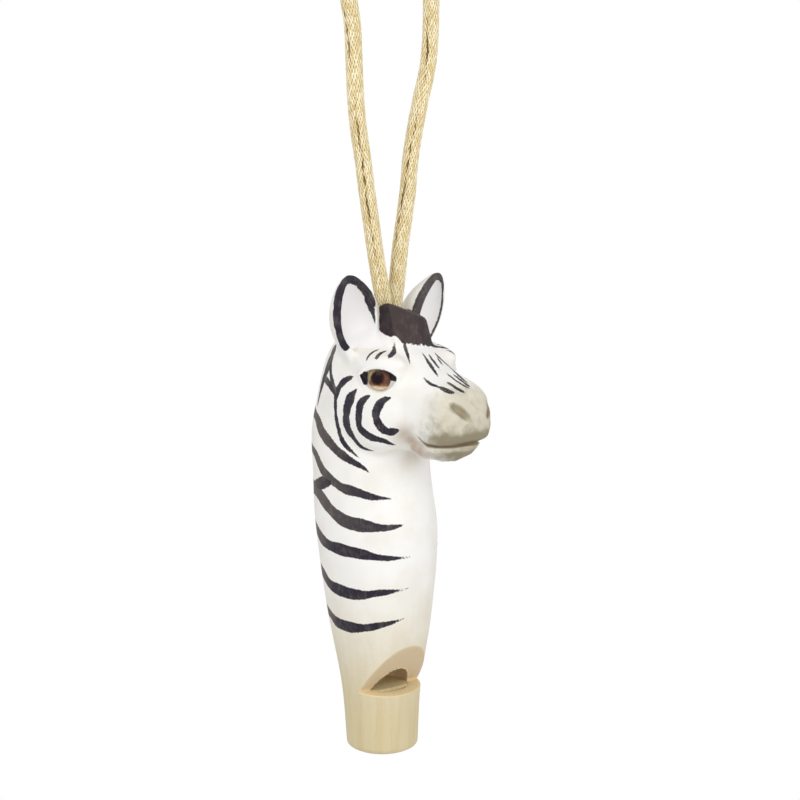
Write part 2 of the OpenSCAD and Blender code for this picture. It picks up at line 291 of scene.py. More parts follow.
@dataclass(frozen=True)
class PhotoView:
    """The photograph's camera, placed round the whistle.

    Attributes:
        azimuth: Degrees from a look along +y, turning towards +x.
        elevation: Degrees above the horizon.
        distance: Millimetres from the camera to the whistle's axis.
        focal: Focal length in pixels of the frame.
        frame: Side of the photograph in pixels.
        axis_column: Pixel column in which the bore's axis stands.
        level: Height on the whistle that is half way down the photograph.
        clear: Millimetres in front of the axis within which the whistle lies.
        sensor: Width of the camera's sensor in millimetres.
        clip: Nearest and farthest that the camera sees, in metres.
    """

    azimuth: float = 45.0
    elevation: float = 9.0
    distance: float = 380.0
    focal: float = 1831.0
    frame: int = 800
    axis_column: float = 381.8
    level: float = 74.5
    clear: float = 50.0
    sensor: float = 36.0
    clip: Span = (0.01, 20.0)

    def axes(self) -> tuple[Array, Array, Array]:
        """Unit vectors to the camera's right, up and back.

        Returns:
            The three vectors.
        """
        a, e = math.radians(self.azimuth), math.radians(self.elevation)
        back = np.array([math.sin(a) * math.cos(e), -math.cos(a) * math.cos(e), math.sin(e)])
        right = np.array([math.cos(a), math.sin(a), 0.0])
        return right, np.cross(back, right), back

    def stand(self) -> Array:
        """The camera's place, in millimetres on the whistle.

        Returns:
            The place.
        """
        right, _, back = self.axes()
        aside = (self.frame / 2.0 - self.axis_column) * self.distance / self.focal
        return np.array([0.0, 0.0, self.level]) + aside * right + self.distance * back

    def rays(self, pixels: Array) -> Array:
        """Unit directions from the camera through pixels of the photograph.

        Args:
            pixels: Their columns and rows.

        Returns:
            One direction for each pixel.
        """
        right, up, back = self.axes()
        u = (np.asarray(pixels, float) - self.frame / 2.0) / self.focal
        d = u[:, :1] * right - u[:, 1:] * up - back
        return d / np.linalg.norm(d, axis=1)[:, None]

    def touch(self, carving: "Carving", pixels: Array) -> Array:
        """Where the rays through pixels of the photograph meet the carving."""
        return carving.meet(self.stand(), self.rays(pixels), self.distance - self.clear)

    def place(self, datum: Datum) -> Piece:
        """Make the scene's camera.

        Args:
            datum: Where the whistle sits.

        Returns:
            The camera.
        """
        data = bpy.data.cameras.new("photo_camera")
        data.sensor_width = self.sensor
        data.lens = self.focal * data.sensor_width / self.frame
        data.clip_start, data.clip_end = self.clip
        camera = bpy.data.objects.new("photo_camera", data)
        camera.location = datum.to_row(self.stand())
        camera.rotation_mode = "QUATERNION"
        camera.rotation_quaternion = Vector(-self.axes()[2]).to_track_quat("-Z", "Y")
        bpy.context.scene.collection.objects.link(camera)
        bpy.context.scene.camera = camera
        return camera


# Carved forms


@dataclass(frozen=True)
class Neck:
    """The neck and the whistle's barrel, round the bore."""

    mouth_round: float = 1.3
    poll: float = 90.6
    power: float = 2.15
    # Keeps the field from rising faster than the true distance
    steep: float = 0.96
    # Height, middle in x, half depth and half width
    rows: Rows = (
        (0.0, 0.0, 7.3, 7.3),
        (13.6, -0.3, 8.3, 8.1),
        (30.3, -0.8, 11.2, 10.5),
        (47.0, -1.6, 13.0, 11.9),
        (59.4, -3.2, 12.5, 11.6),
        (68.4, -3.5, 12.3, 11.4),
        (80.6, -2.6, 10.3, 10.0),
        (86.4, -1.6, 8.4, 8.5),
        (89.0, -0.5, 6.1, 6.6),
        (90.6, 0.5, 1.9, 2.9),
    )

    def distance(self, p: Array) -> Array:
        """Distance to the neck at points.

        Args:
            p: The points, in millimetres on the whistle.

        Returns:
            One distance for each point.
        """
        z = np.clip(p[:, 2], 0.0, self.poll)
        middle, deep, wide = through(self.rows, z).T
        side = self.steep * oval(p[:, 0] - middle, p[:, 1], deep, wide, self.power)
        return np.maximum(round_max(side, -p[:, 2], self.mouth_round), p[:, 2] - self.poll)

    def nape(self, height: float, degrees: float) -> Array:
        """A point on the neck, round from the nape to the animal's right.

        Args:
            height: The point's height.
            degrees: How far round from the nape it is.

        Returns:
            The point.
        """
        middle, deep, wide = through(self.rows, np.array([height]))[0]
        a = math.radians(180.0 + degrees)
        c, s = math.cos(a), math.sin(a)
        share = (abs(c / deep) ** self.power + abs(s / wide) ** self.power) ** (-1.0 / self.power)
        return np.array([middle + share * c, share * s, height])


@dataclass(frozen=True)
class Head:
    """The head from the poll to the muzzle, with lips, cheeks and brows."""

    jaw: float = 64.4
    height: float = 26.2
    reach: float = 26.4
    power: float = 2.3
    nose_power: float = 2.9
    # Shares of the reach between which the section turns squarer
    nose_span: Span = (0.5, 0.8)
    steep: float = 0.93
    front_round: float = 4.2
    back_round: float = 6.0
    snout: Chisel = Chisel((19.0, 0.0, 71.0), 38)
    snout_cut: float = 8.0
    chin: Chisel = Chisel((16.5, 0.0, 67.5), 44)
    chin_cut: float = 4.0
    # Rounded forms, and how softly each runs into the head
    cheek: Egg = Egg((4.6, 7.2, 73.2), (9.2, 4.9, 8.2))
    cheek_blend: float = 1.5
    bulb: Egg = Egg((19.5, 0.0, 71.2), (6.5, 7.7, 6.1))
    bulb_blend: float = 1.0
    brow: Egg = Egg((6.3, 10.3, 83.8), (4.9, 2.0, 1.8))
    brow_turn: float = -14.0
    brow_blend: float = 3.2
    lip: Egg = Egg((17.4, 0.0, 67.2), (6.5, 6.6, 2.8))
    lip_blend: float = 0.5
    # Share of the reach; top, widest level and underside as shares of the height; half width
    rows: Rows = (
        (-0.30, 0.80, 0.45, 0.10, 7.6),
        (-0.12, 0.96, 0.45, 0.03, 9.7),
        (0.10, 0.99, 0.46, 0.03, 10.5),
        (0.28, 0.92, 0.47, 0.03, 10.5),
        (0.42, 0.82, 0.46, 0.04, 9.8),
        (0.56, 0.73, 0.42, 0.06, 8.3),
        (0.70, 0.665, 0.39, 0.11, 7.3),
        (0.84, 0.605, 0.36, 0.11, 7.4),
        (1.00, 0.49, 0.33, 0.11, 6.9),
    )

    def wedge(self, p: Array) -> Array:
        """Distance to the long wedge of the head.

        Args:
            p: The points, in millimetres on the whistle.

        Returns:
            One distance for each point.
        """
        s = np.clip(p[:, 0] / self.reach, self.rows[0][0], 1.0)
        top, wide, under, half = through(self.rows, s).T
        rise = p[:, 2] - self.jaw - wide * self.height
        tall = np.where(rise > 0.0, top - wide, wide - under) * self.height
        power = self.power + (self.nose_power - self.power) * smooth_step(*self.nose_span, s)
        side = self.steep * oval(p[:, 1], rise, half, tall, power)
        side = round_max(side, self.rows[0][0] * self.reach - p[:, 0], self.back_round)
        return round_max(side, p[:, 0] - self.reach, self.front_round)

    def distance(self, p: Array) -> Array:
        """Distance to the head at points.

        Args:
            p: The points, in millimetres on the whistle.

        Returns:
            One distance for each point.
        """
        q = fold(p)
        head = soft_min(self.wedge(q), self.cheek.distance(q), self.cheek_blend)
        bulb = self.bulb.distance(q) - self.snout_cut * self.snout.rise(p)
        head = soft_min(head, bulb, self.bulb_blend)
        brow = self.brow.distance(q @ turn(2, self.brow_turn))
        head = soft_min(head, brow, self.brow_blend)
        lip = self.lip.distance(q) - self.chin_cut * self.chin.rise(p)
        return soft_min(head, lip, self.lip_blend)


@dataclass(frozen=True)
class Ear:
    """A cupped ear, drawn for the animal's left and mirrored for its right."""

    height: float = 16.4
    width: float = 11.6
    depth: float = 6.2
    wall: float = 1.3
    outward_right: float = 9.0
    outward_left: float = 13.0
    tall_right: float = 1.025
    tall_left: float = 0.955
    # Width of the left ear's outer half at its foot, and from a share of the way up
    slim_left: float = 0.78
    full_left: float = 1.06
    full_from: float = 0.65
    steep: float = 0.9
    edge: float = 0.5
    # The hollow's depth behind the rim as a share of the room there, its least depth in
    # millimetres, and its reach in front in depths of the ear
    scoop: float = 0.8
    scoop_least: float = 0.3
    scoop_fore: float = 3.0
    lean: float = 17.0
    tip: float = 5.0
    root_right: Spot = (2.4, 8.1, 85.4)
    root_left: Spot = (2.4, 8.8, 85.4)
    # Share of the height, then width and depth as shares
    rows: Rows = (
        (-0.18, 0.34, 0.50),
        (0.0, 0.62, 0.90),
        (0.2, 0.86, 1.00),
        (0.42, 1.00, 0.98),
        (0.65, 0.88, 0.78),
        (0.84, 0.58, 0.48),
        (0.95, 0.30, 0.25),
        (1.0, 0.10, 0.10),
    )
    # Share of the height, then how much narrower the outer half is
    outer_rows: Rows = (
        (0.0, 0.94),
        (0.2, 0.90),
        (0.42, 0.87),
        (0.65, 0.88),
        (0.84, 0.95),
        (1.0, 1.0),
    )
    hollow_rows: Rows = (
        (0.0, 0.40, 0.05),
        (0.12, 0.62, 0.32),
        (0.26, 0.88, 0.74),
        (0.45, 1.00, 0.98),
        (0.65, 0.88, 0.80),
        (0.84, 0.58, 0.50),
        (0.95, 0.30, 0.26),
        (1.0, 0.10, 0.10),
    )

    def local(self, p: Array) -> Array:
        """Points in the ear's own frame: out of its hollow, across and up.

        Args:
            p: The points, in millimetres on the whistle.

        Returns:
            The points, as the ear on their side has them.
        """
        q = fold(p)
        set_back = turn(1, self.tip) @ turn(0, -self.lean)
        right = (q - np.array(self.root_right)) @ set_back @ turn(2, self.outward_right)
        left = (q - np.array(self.root_left)) @ set_back @ turn(2, self.outward_left)
        right[:, 2] /= self.tall_right
        left[:, 2] /= self.tall_left
        fill = smooth_step(0.0, self.full_from, left[:, 2] / self.height)
        slim = self.slim_left + (self.full_left - self.slim_left) * fill
        left[:, 1] /= np.where(left[:, 1] > 0.0, slim, 1.0)
        return np.where(p[:, 1:2] < 0.0, right, left)

    def half(self, q: Array, wide: Array) -> Array:
        """Half widths on each point's own side of the ear, from half widths of the inner side."""
        outer = through(self.outer_rows, np.clip(q[:, 2] / self.height, 0.0, 1.0))[:, 0]
        return wide * np.where(q[:, 1] > 0.0, outer, 1.0)

    def leaf(self, q: Array) -> Array:
        """Distance to the whole leaf, which is deeper behind than in front.

        Args:
            q: Points in the ear's own frame.

        Returns:
            One distance for each point.
        """
        share = np.clip(q[:, 2] / self.height, self.rows[0][0], 1.0)
        wide, deep = through(self.rows, share).T
        thick = np.where(q[:, 0] < 0.0, self.depth, self.wall) * deep
        half = self.half(q, wide * self.width / 2.0)
        side = self.steep * oval(q[:, 0], q[:, 1], thick, half, 2.0)
        return round_max(side, q[:, 2] - self.height, self.edge)

    def hollow(self, q: Array) -> Array:
        """Distance to the scooped hollow, which runs out at its foot.

        Args:
            q: Points in the ear's own frame.

        Returns:
            One distance for each point.
        """
        tall = self.height - self.wall
        share = np.clip(q[:, 2] / tall, 0.0, 1.0)
        wide, deep = through(self.hollow_rows, share).T
        back = np.maximum(self.scoop * (self.depth - 2.0 * self.wall) * deep, self.scoop_least)
        wide = self.half(q, wide * (self.width / 2.0 - self.wall))
        thick = np.where(q[:, 0] < 0.0, back, self.scoop_fore * self.depth)
        side = self.steep * oval(q[:, 0], q[:, 1], thick, wide, 2.0)
        return round_max(round_max(side, q[:, 2] - tall, self.edge), -q[:, 2], self.edge)

    def distance(self, p: Array) -> Array:
        """Distance to both ears at points.

        Args:
            p: The points, in millimetres on the whistle.

        Returns:
            One distance for each point.
        """
        q = self.local(p)
        leaf = np.maximum(self.leaf(q), self.rows[0][0] * self.height - q[:, 2])
        return soft_max(leaf, -self.hollow(q), self.edge)


@dataclass(frozen=True)
class Tuft:
    """The forelock, cut with flat chisel strokes."""

    middle: Spot = (6.8, 0.0, 88.0)
    edge: float = 0.3
    # Outward direction of each cut, its distance from the middle, and its painted light and shade
    cuts: Rows = (
        (0.98, -0.20, 0.22, 2.7, 0.75),
        (0.98, 0.22, 0.22, 3.2, 0.2),
        (0.0, -1.0, -0.03, 4.7, 0.1),
        (0.0, 1.0, 0.18, 5.4, 0.4),
        (-1.0, 0.0, 0.02, 2.9, 0.3),
        (-0.75, -0.66, 0.0, 5.0, 0.2),
        (-0.75, 0.66, 0.0, 4.2, 0.3),
        (-0.35, 0.10, 0.93, 6.75, 0.5),
        (0.30, 0.10, 0.95, 6.8, 0.6),
        (0.305, 0.305, 0.90, 5.34, 0.9),
        (0.10, -0.55, 0.83, 8.75, 0.4),
        (0.75, 0.05, 0.66, 5.0, 0.55),
        (0.55, 0.55, 0.63, 5.7, 0.2),
        (0.0, 0.0, -1.0, 6.5, 0.3),
    )

    def distance(self, p: Array) -> Array:
        """Distance to the tuft at points."""
        return reduce(lambda a, b: soft_max(a, b, self.edge), self.rises(p).T)

    def rises(self, p: Array) -> Array:
        """How far points stand out of each cut.

        Args:
            p: The points, in millimetres on the whistle.

        Returns:
            One row for each point, with a distance for each cut.
        """
        cuts = np.array(self.cuts)
        out = cuts[:, :3] / np.linalg.norm(cuts[:, :3], axis=1)[:, None]
        return (p - np.array(self.middle)) @ out.T - cuts[:, 3]

    def tone(self, p: Array) -> Array:
        """The painted light and shade of the cut that each point is on."""
        return np.array(self.cuts)[self.rises(p).argmax(axis=1), 4]


@dataclass(frozen=True)
class EyeSeat:
    """The almond-shaped opening carved round each glass eye."""

    middle: Spot
    yaw: float = 22.0
    half_length: float = 3.9
    fore: float = 0.3
    corner: float = 0.45
    up: float = 1.55
    down: float = 3.05
    sink: float = 0.9
    lid: float = 0.42
    lid_out: float = 0.3
    lid_back: float = 0.05
    lid_blend: float = 0.8
    # Levels between which the lids grow to their full height
    lid_span: Span = (-2.4, 1.4)
    edge: float = 0.25
    room: float = 3.0

    @classmethod
    def round_rim(cls, rim: Spot, raised: float = 0.7) -> "EyeSeat":
        """An opening that stands out of the left eye's rim by some millimetres."""
        a = math.radians(cls.yaw)
        return cls((rim[0] + raised * math.sin(a), rim[1] + raised * math.cos(a), rim[2]))

    def local(self, p: Array) -> Array:
        """Points in the eye's own frame: forward along the lids, up, and out of the head.

        Args:
            p: The points, in millimetres on the whistle.

        Returns:
            The points, as the eye on their side has them.
        """
        a = math.radians(self.yaw)
        out = np.array([math.sin(a), math.cos(a), 0.0])
        forward = np.array([math.cos(a), -math.sin(a), 0.0])
        q = fold(p) - np.array(self.middle)
        return np.stack([q @ forward, q[:, 2], q @ out], axis=1)

    def almond(self, q: Array) -> Array:
        """Distance to the almond's outline, looking along the eye's axis.

        Args:
            q: Points in the eye's own frame.

        Returns:
            One distance for each point.
        """
        arcs = []
        for height, sign in ((self.up, 1.0), (self.down, -1.0)):
            radius = (self.half_length**2 + height**2) / (2.0 * height)
            drop = sign * (radius - height)
            arcs.append(np.hypot(q[:, 0] - self.fore, q[:, 1] - self.corner + drop) - radius)
        return np.maximum(*arcs)

    def carve(self, field_: Array, p: Array) -> Array:
        """Cut the opening into a field and raise the lids round it.

        Args:
            field_: Distances to the head.
            p: The points that they are at.

        Returns:
            The new distances.
        """
        q = self.local(p)
        outline = self.almond(q)
        near = q[:, 2] > -self.room
        lid = self.lid * smooth_step(*self.lid_span, q[:, 1])
        ridge = np.hypot(outline - self.lid_out, q[:, 2] + self.lid_back) - lid
        lidded = np.where(near, soft_min(field_, ridge, self.lid_blend), field_)
        pit = np.where(near, np.maximum(outline, -self.sink - q[:, 2]), DEEP)
        return soft_max(lidded, -pit, self.edge)


@dataclass(frozen=True)
class Bores:
    """The cuts that make it a whistle: chamber, window and cord hole."""

    bore_radius: float = 5.3
    bore_depth: float = 46.0
    ledge: float = 13.6
    ledge_tilt: float = 5.0
    reach: float = 2.2
    ramp_height: float = 8.2
    ledge_radius: float = 8.3
    window_turn: float = 6.0
    edge: float = 0.12
    # Place in x, radius and floor
    cord_hole: Spot = (2.2, 3.8, 78.6)

    def ramp(self, p: Array) -> Array:
        """Distance to the window's wedge of air.

        Args:
            p: The points, in millimetres on the whistle.

        Returns:
            One distance for each point.
        """
        a = math.radians(self.window_turn)
        out = p[:, 0] * math.cos(a) - p[:, 1] * math.sin(a) - self.reach
        tilt = math.tan(math.radians(self.ledge_tilt))
        slope = self.ramp_height / (self.ledge_radius - self.reach)
        rise = p[:, 2] - self.ledge
        under = -(rise + tilt * out) * math.cos(math.radians(self.ledge_tilt))
        over = (rise - slope * out) / math.hypot(1.0, slope)
        return np.maximum(under, over)

    def carve(self, field_: Array, p: Array) -> Array:
        """Cut the bores and the window into a field.

        Args:
            field_: Distances to the carved form.
            p: The points that they are at.

        Returns:
            The new distances.
        """
        wall = np.hypot(p[:, 0], p[:, 1]) - self.bore_radius
        bore = np.maximum(wall, p[:, 2] - self.bore_depth)
        x, radius, foot = self.cord_hole
        hole = np.maximum(np.hypot(p[:, 0] - x, p[:, 1]) - radius, foot - p[:, 2])
        cut = np.minimum(np.minimum(bore, hole), self.ramp(p))
        return soft_max(field_, -cut, self.edge)


@dataclass(frozen=True)
class Nostril:
    """A slit nostril, drawn for the animal's left and mirrored for its right."""

    middle: Spot = (25.8, 3.5, 75.45)
    left_shift: Spot = (-1.1, 2.0, -0.3)
    along: Spot = (0.40, -0.68, -0.61)
    out: Spot = (0.80, 0.45, 0.35)
    half_length: float = 2.5
    half_width: float = 0.75
    depth: float = 0.8

    def distance(self, p: Array) -> Array:
        """Distance to both slits at points.

        Args:
            p: The points, in millimetres on the whistle.

        Returns:
            One distance for each point.
        """
        along = np.array(self.along) / np.linalg.norm(self.along)
        out = np.array(self.out)
        out = out - (out @ along) * along
        out /= np.linalg.norm(out)
        q = fold(p) - np.array(self.middle)
        q -= np.where(p[:, 1:2] > 0.0, np.array(self.left_shift), 0.0)
        local = np.stack([q @ along, q @ np.cross(out, along), q @ out], axis=1)
        slit = Egg((0.0, 0.0, 0.0), (self.half_length, self.half_width, self.depth))
        return slit.distance(local)


@dataclass(frozen=True)
class Carving:
    """All carved forms as one field."""

    eye_seat: EyeSeat
    neck: Neck = Neck()
    head: Head = Head()
    ear: Ear = Ear()
    tuft: Tuft = Tuft()
    nostril: Nostril = Nostril()
    bores: Bores = Bores()
    mouth_level: float = 68.3
    mouth_back: float = 16.8
    mouth_depth: float = 0.8
    mouth_width: float = 0.42
    # How far the line of the mouth rises at the front and at its corner, and where in x
    mouth_front_rise: float = 0.5
    mouth_front: Span = (23.5, 26.0)
    mouth_corner_rise: float = 1.8
    mouth_corner: float = 19.6
    mouth_runout: float = 1.2
    # Below this height there is only the neck
    head_from: float = 58.0
    # The fillet between neck and head under the jaw, what it gains upward, and where
    jaw_blend: float = 0.9
    poll_gain: float = 3.4
    poll_span: Span = (67.0, 78.0)
    nostril_blend: float = 0.8
    ear_blend: float = 1.6
    tuft_blend: float = 0.5
    # Depth, length and seed of the unevenness that the knife left on the neck and the head,
    # with the heights between which the first begins, and over how much height the second does
    neck_marks: tuple[float, float, int] = (0.10, 11.0, 5)
    neck_marks_span: Span = (22.0, 34.0)
    head_marks: tuple[float, float, int] = (0.025, 4.5, 8)
    head_marks_ease: float = 8.0

    def mouth(self, p: Array) -> Array:
        """Depth of the groove between the lips.

        Args:
            p: The points, in millimetres on the whistle.

        Returns:
            One depth for each point.
        """
        x, back = p[:, 0], self.mouth_back
        level = self.mouth_level + self.mouth_front_rise * smooth_step(*self.mouth_front, x)
        level += self.mouth_corner_rise * smooth_step(self.mouth_corner, back, x)
        groove = np.exp(-(((p[:, 2] - level) / self.mouth_width) ** 2))
        opening = smooth_step(back, back + self.mouth_runout, x)
        return self.mouth_depth * groove * opening

    def distance(self, p: Array) -> Array:
        """Distance to the carving at points, in millimetres.

        Args:
            p: The points, in millimetres on the whistle.

        Returns:
            One distance for each point.
        """
        p = np.asarray(p, float)
        blend = self.jaw_blend + self.poll_gain * smooth_step(*self.poll_span, p[:, 2])
        form = self.neck.distance(p)
        depth, size, seed = self.neck_marks
        form += depth * ripple(p, size, seed) * smooth_step(*self.neck_marks_span, p[:, 2])
        high = p[:, 2] > self.head_from
        if high.any():
            q = p[high]
            upper = soft_min(form[high], self.head.distance(q), blend[high])
            upper += self.mouth(q)
            upper = soft_max(upper, -self.nostril.distance(q), self.nostril_blend)
            upper = self.eye_seat.carve(upper, q)
            upper = soft_min(upper, self.ear.distance(q), self.ear_blend)
            upper = soft_min(upper, self.tuft.distance(q), self.tuft_blend)
            depth, size, seed = self.head_marks
            ease = smooth_step(self.head_from, self.head_from + self.head_marks_ease, q[:, 2])
            form[high] = upper + depth * ripple(q, size, seed) * ease
        return self.bores.carve(form, p)

    def normals(self, p: Array) -> Array:
        """Directions out of the carving at points.

        Args:
            p: The points, in millimetres on the whistle.

        Returns:
            One direction for each point.
        """
        step = 0.05
        n = np.zeros_like(p)
        for k in range(3):
            shift = np.zeros(3)
            shift[k] = step
            n[:, k] = self.distance(p + shift) - self.distance(p - shift)
        return n / (2.0 * step)

    def meet(self, eye: Array, rays: Array, near: float) -> Array:
        """Where rays first meet the carving, or pass it closest.

        Args:
            eye: Start of the rays.
            rays: Unit directions.
            near: Distance at which to start looking.

        Returns:
            One point for each ray.
        """
        steps, caution, back, ahead, room = 160, 0.6, -0.5, 3.0, 150.0
        t = np.full(len(rays), near)
        best, kept = np.full(len(rays), np.inf), np.array(t)
        for _ in range(steps):
            d = self.distance(eye + t[:, None] * rays)
            closer = np.abs(d) < best
            best[closer], kept[closer] = np.abs(d)[closer], t[closer]
            t = np.minimum(t + np.clip(caution * d, back, ahead), near + room)
        return eye + kept[:, None] * rays


# Meshes


def skin(carving: Carving, low: Array, high: Array, step: float) -> tuple[Array, Array]:
    """Mesh the carving with quads about step wide.

    Args:
        carving: The field to skin.
        low: Lowest corner of the box that holds it.
        high: Highest corner.
        step: Cell size in millimetres.

    Returns:
        Points, and quads of their indices.
    """
    block, spare, passes, stride, flattest = 4, 1.6, 2, 0.4, 0.25
    count = np.ceil((high - low) / (step * block)).astype(int)
    centres = [low[k] + step * (block * (np.arange(count[k]) + 0.5) - 0.5) for k in range(3)]
    grid = np.stack(np.meshgrid(*centres, indexing="ij"), axis=-1).reshape(-1, 3)
    coarse = carving.distance(grid).reshape(count)
    values, mask = coarse, np.abs(coarse) < step * block * spare
    for k in range(3):
        values, mask = np.repeat(values, block, axis=k), np.repeat(mask, block, axis=k)
    spots = np.argwhere(mask)
    values = values.astype(float)
    values[mask] = carving.distance(low + step * spots)
    cells, quads = net(values)
    points = low + step * cells
    for _ in range(passes):
        d, n = carving.distance(points), carving.normals(points)
        move = -(d / np.maximum((n * n).sum(axis=1), flattest))[:, None] * n
        length = np.linalg.norm(move, axis=1)[:, None]
        points = points + move * np.minimum(1.0, stride * step / np.maximum(length, 1e-9))
    return points, quads


def net(values: Array) -> tuple[Array, Array]:
    """Surface net of a grid of distances.

    Args:
        values: Distances at the grid's points, negative inside.

    Returns:
        Points in grid units, and quads of their indices that face outward.
    """
    inside = values < 0.0
    size = np.array(values.shape) - 1
    corners = [np.array([i, j, k]) for i in (0, 1) for j in (0, 1) for k in (0, 1)]
    filled = sum(
        inside[c[0] : c[0] + size[0], c[1] : c[1] + size[1], c[2] : c[2] + size[2]].astype(np.int8)
        for c in corners
    )
    active = (filled > 0) & (filled < 8)
    index = np.full(active.shape, -1, np.int64)
    index[active] = np.arange(int(active.sum()))
    cells = np.argwhere(active)
    total, hits = np.zeros(cells.shape), np.zeros(len(cells))
    for axis in range(3):
        unit = np.eye(3, dtype=int)[axis]
        for c in (c for c in corners if c[axis] == 0):
            a, b = values[tuple((cells + c).T)], values[tuple((cells + c + unit).T)]
            crossed = (a < 0.0) != (b < 0.0)
            share = a[crossed] / (a[crossed] - b[crossed])
            total[crossed] += c + share[:, None] * unit
            hits[crossed] += 1
    quads = []
    for axis in range(3):
        u, v = np.eye(3, dtype=int)[(axis + 1) % 3], np.eye(3, dtype=int)[(axis + 2) % 3]
        ahead = np.take(inside, range(1, inside.shape[axis]), axis=axis)
        here = np.take(inside, range(inside.shape[axis] - 1), axis=axis)
        spots = np.argwhere(here != ahead)
        fits = ((spots - u - v >= 0) & (spots < size)).all(axis=1)
        spots = spots[fits]
        ring = [index[tuple(s.T)] for s in (spots - u - v, spots - v, spots, spots - u)]
        quad = np.stack(ring, axis=1)
        out = here[tuple(spots.T)]
        quads.append(np.where(out[:, None], quad, quad[:, ::-1]))
    return cells + total / hits[:, None], np.concatenate(quads)


def add_mesh(name: str, points: Array, faces: list[list[int]]) -> Piece:
    """Make a smooth-shaded mesh object in the row frame.

    Args:
        name: Name of the piece.
        points: Its points in metres.
        faces: The points of each of its faces.

    Returns:
        The object.
    """
    mesh = bpy.data.meshes.new(name)
    mesh.from_pydata(points.tolist(), [], faces)
    mesh.polygons.foreach_set("use_smooth", [True] * len(mesh.polygons))
    mesh.update()
    piece = bpy.data.objects.new(name, mesh)
    bpy.context.scene.collection.objects.link(piece)
    return piece


def tag(piece: Piece, name: str, values: Array) -> None:
    """Keep one number for each point of a piece, for its material to read."""
    layer = piece.data.attributes.new(name, "FLOAT", "POINT")
    layer.data.foreach_set("value", np.asarray(values, np.float32))


# Brushwork


class Side(Enum):
    """The animal's two sides, by the sign of y."""

    RIGHT = -1
    LEFT = 1


@dataclass(frozen=True)
class Stroke:
    """One pull of the brush, as the photograph shows it.

    Attributes:
        pixels: Where its middle runs in the photograph.
        width: Its widest, in pixels.
        start: Share of its length over which it opens.
        end: Share of its length over which it closes to a point.
        twin: Share of its length that its mirror twin has on the other side, or 0 for none.
        nape: Rise in millimetres to the nape, where it runs on round the neck.
        fade: Share of its length over which it turns from dry to fresh paint.
        solid: Whether its paint is even all along.
    """

    pixels: Rows
    width: float
    start: float = 0.12
    end: float = 0.4
    twin: float = 1.0
    nape: float | None = None
    fade: float = 1.0
    solid: bool = False


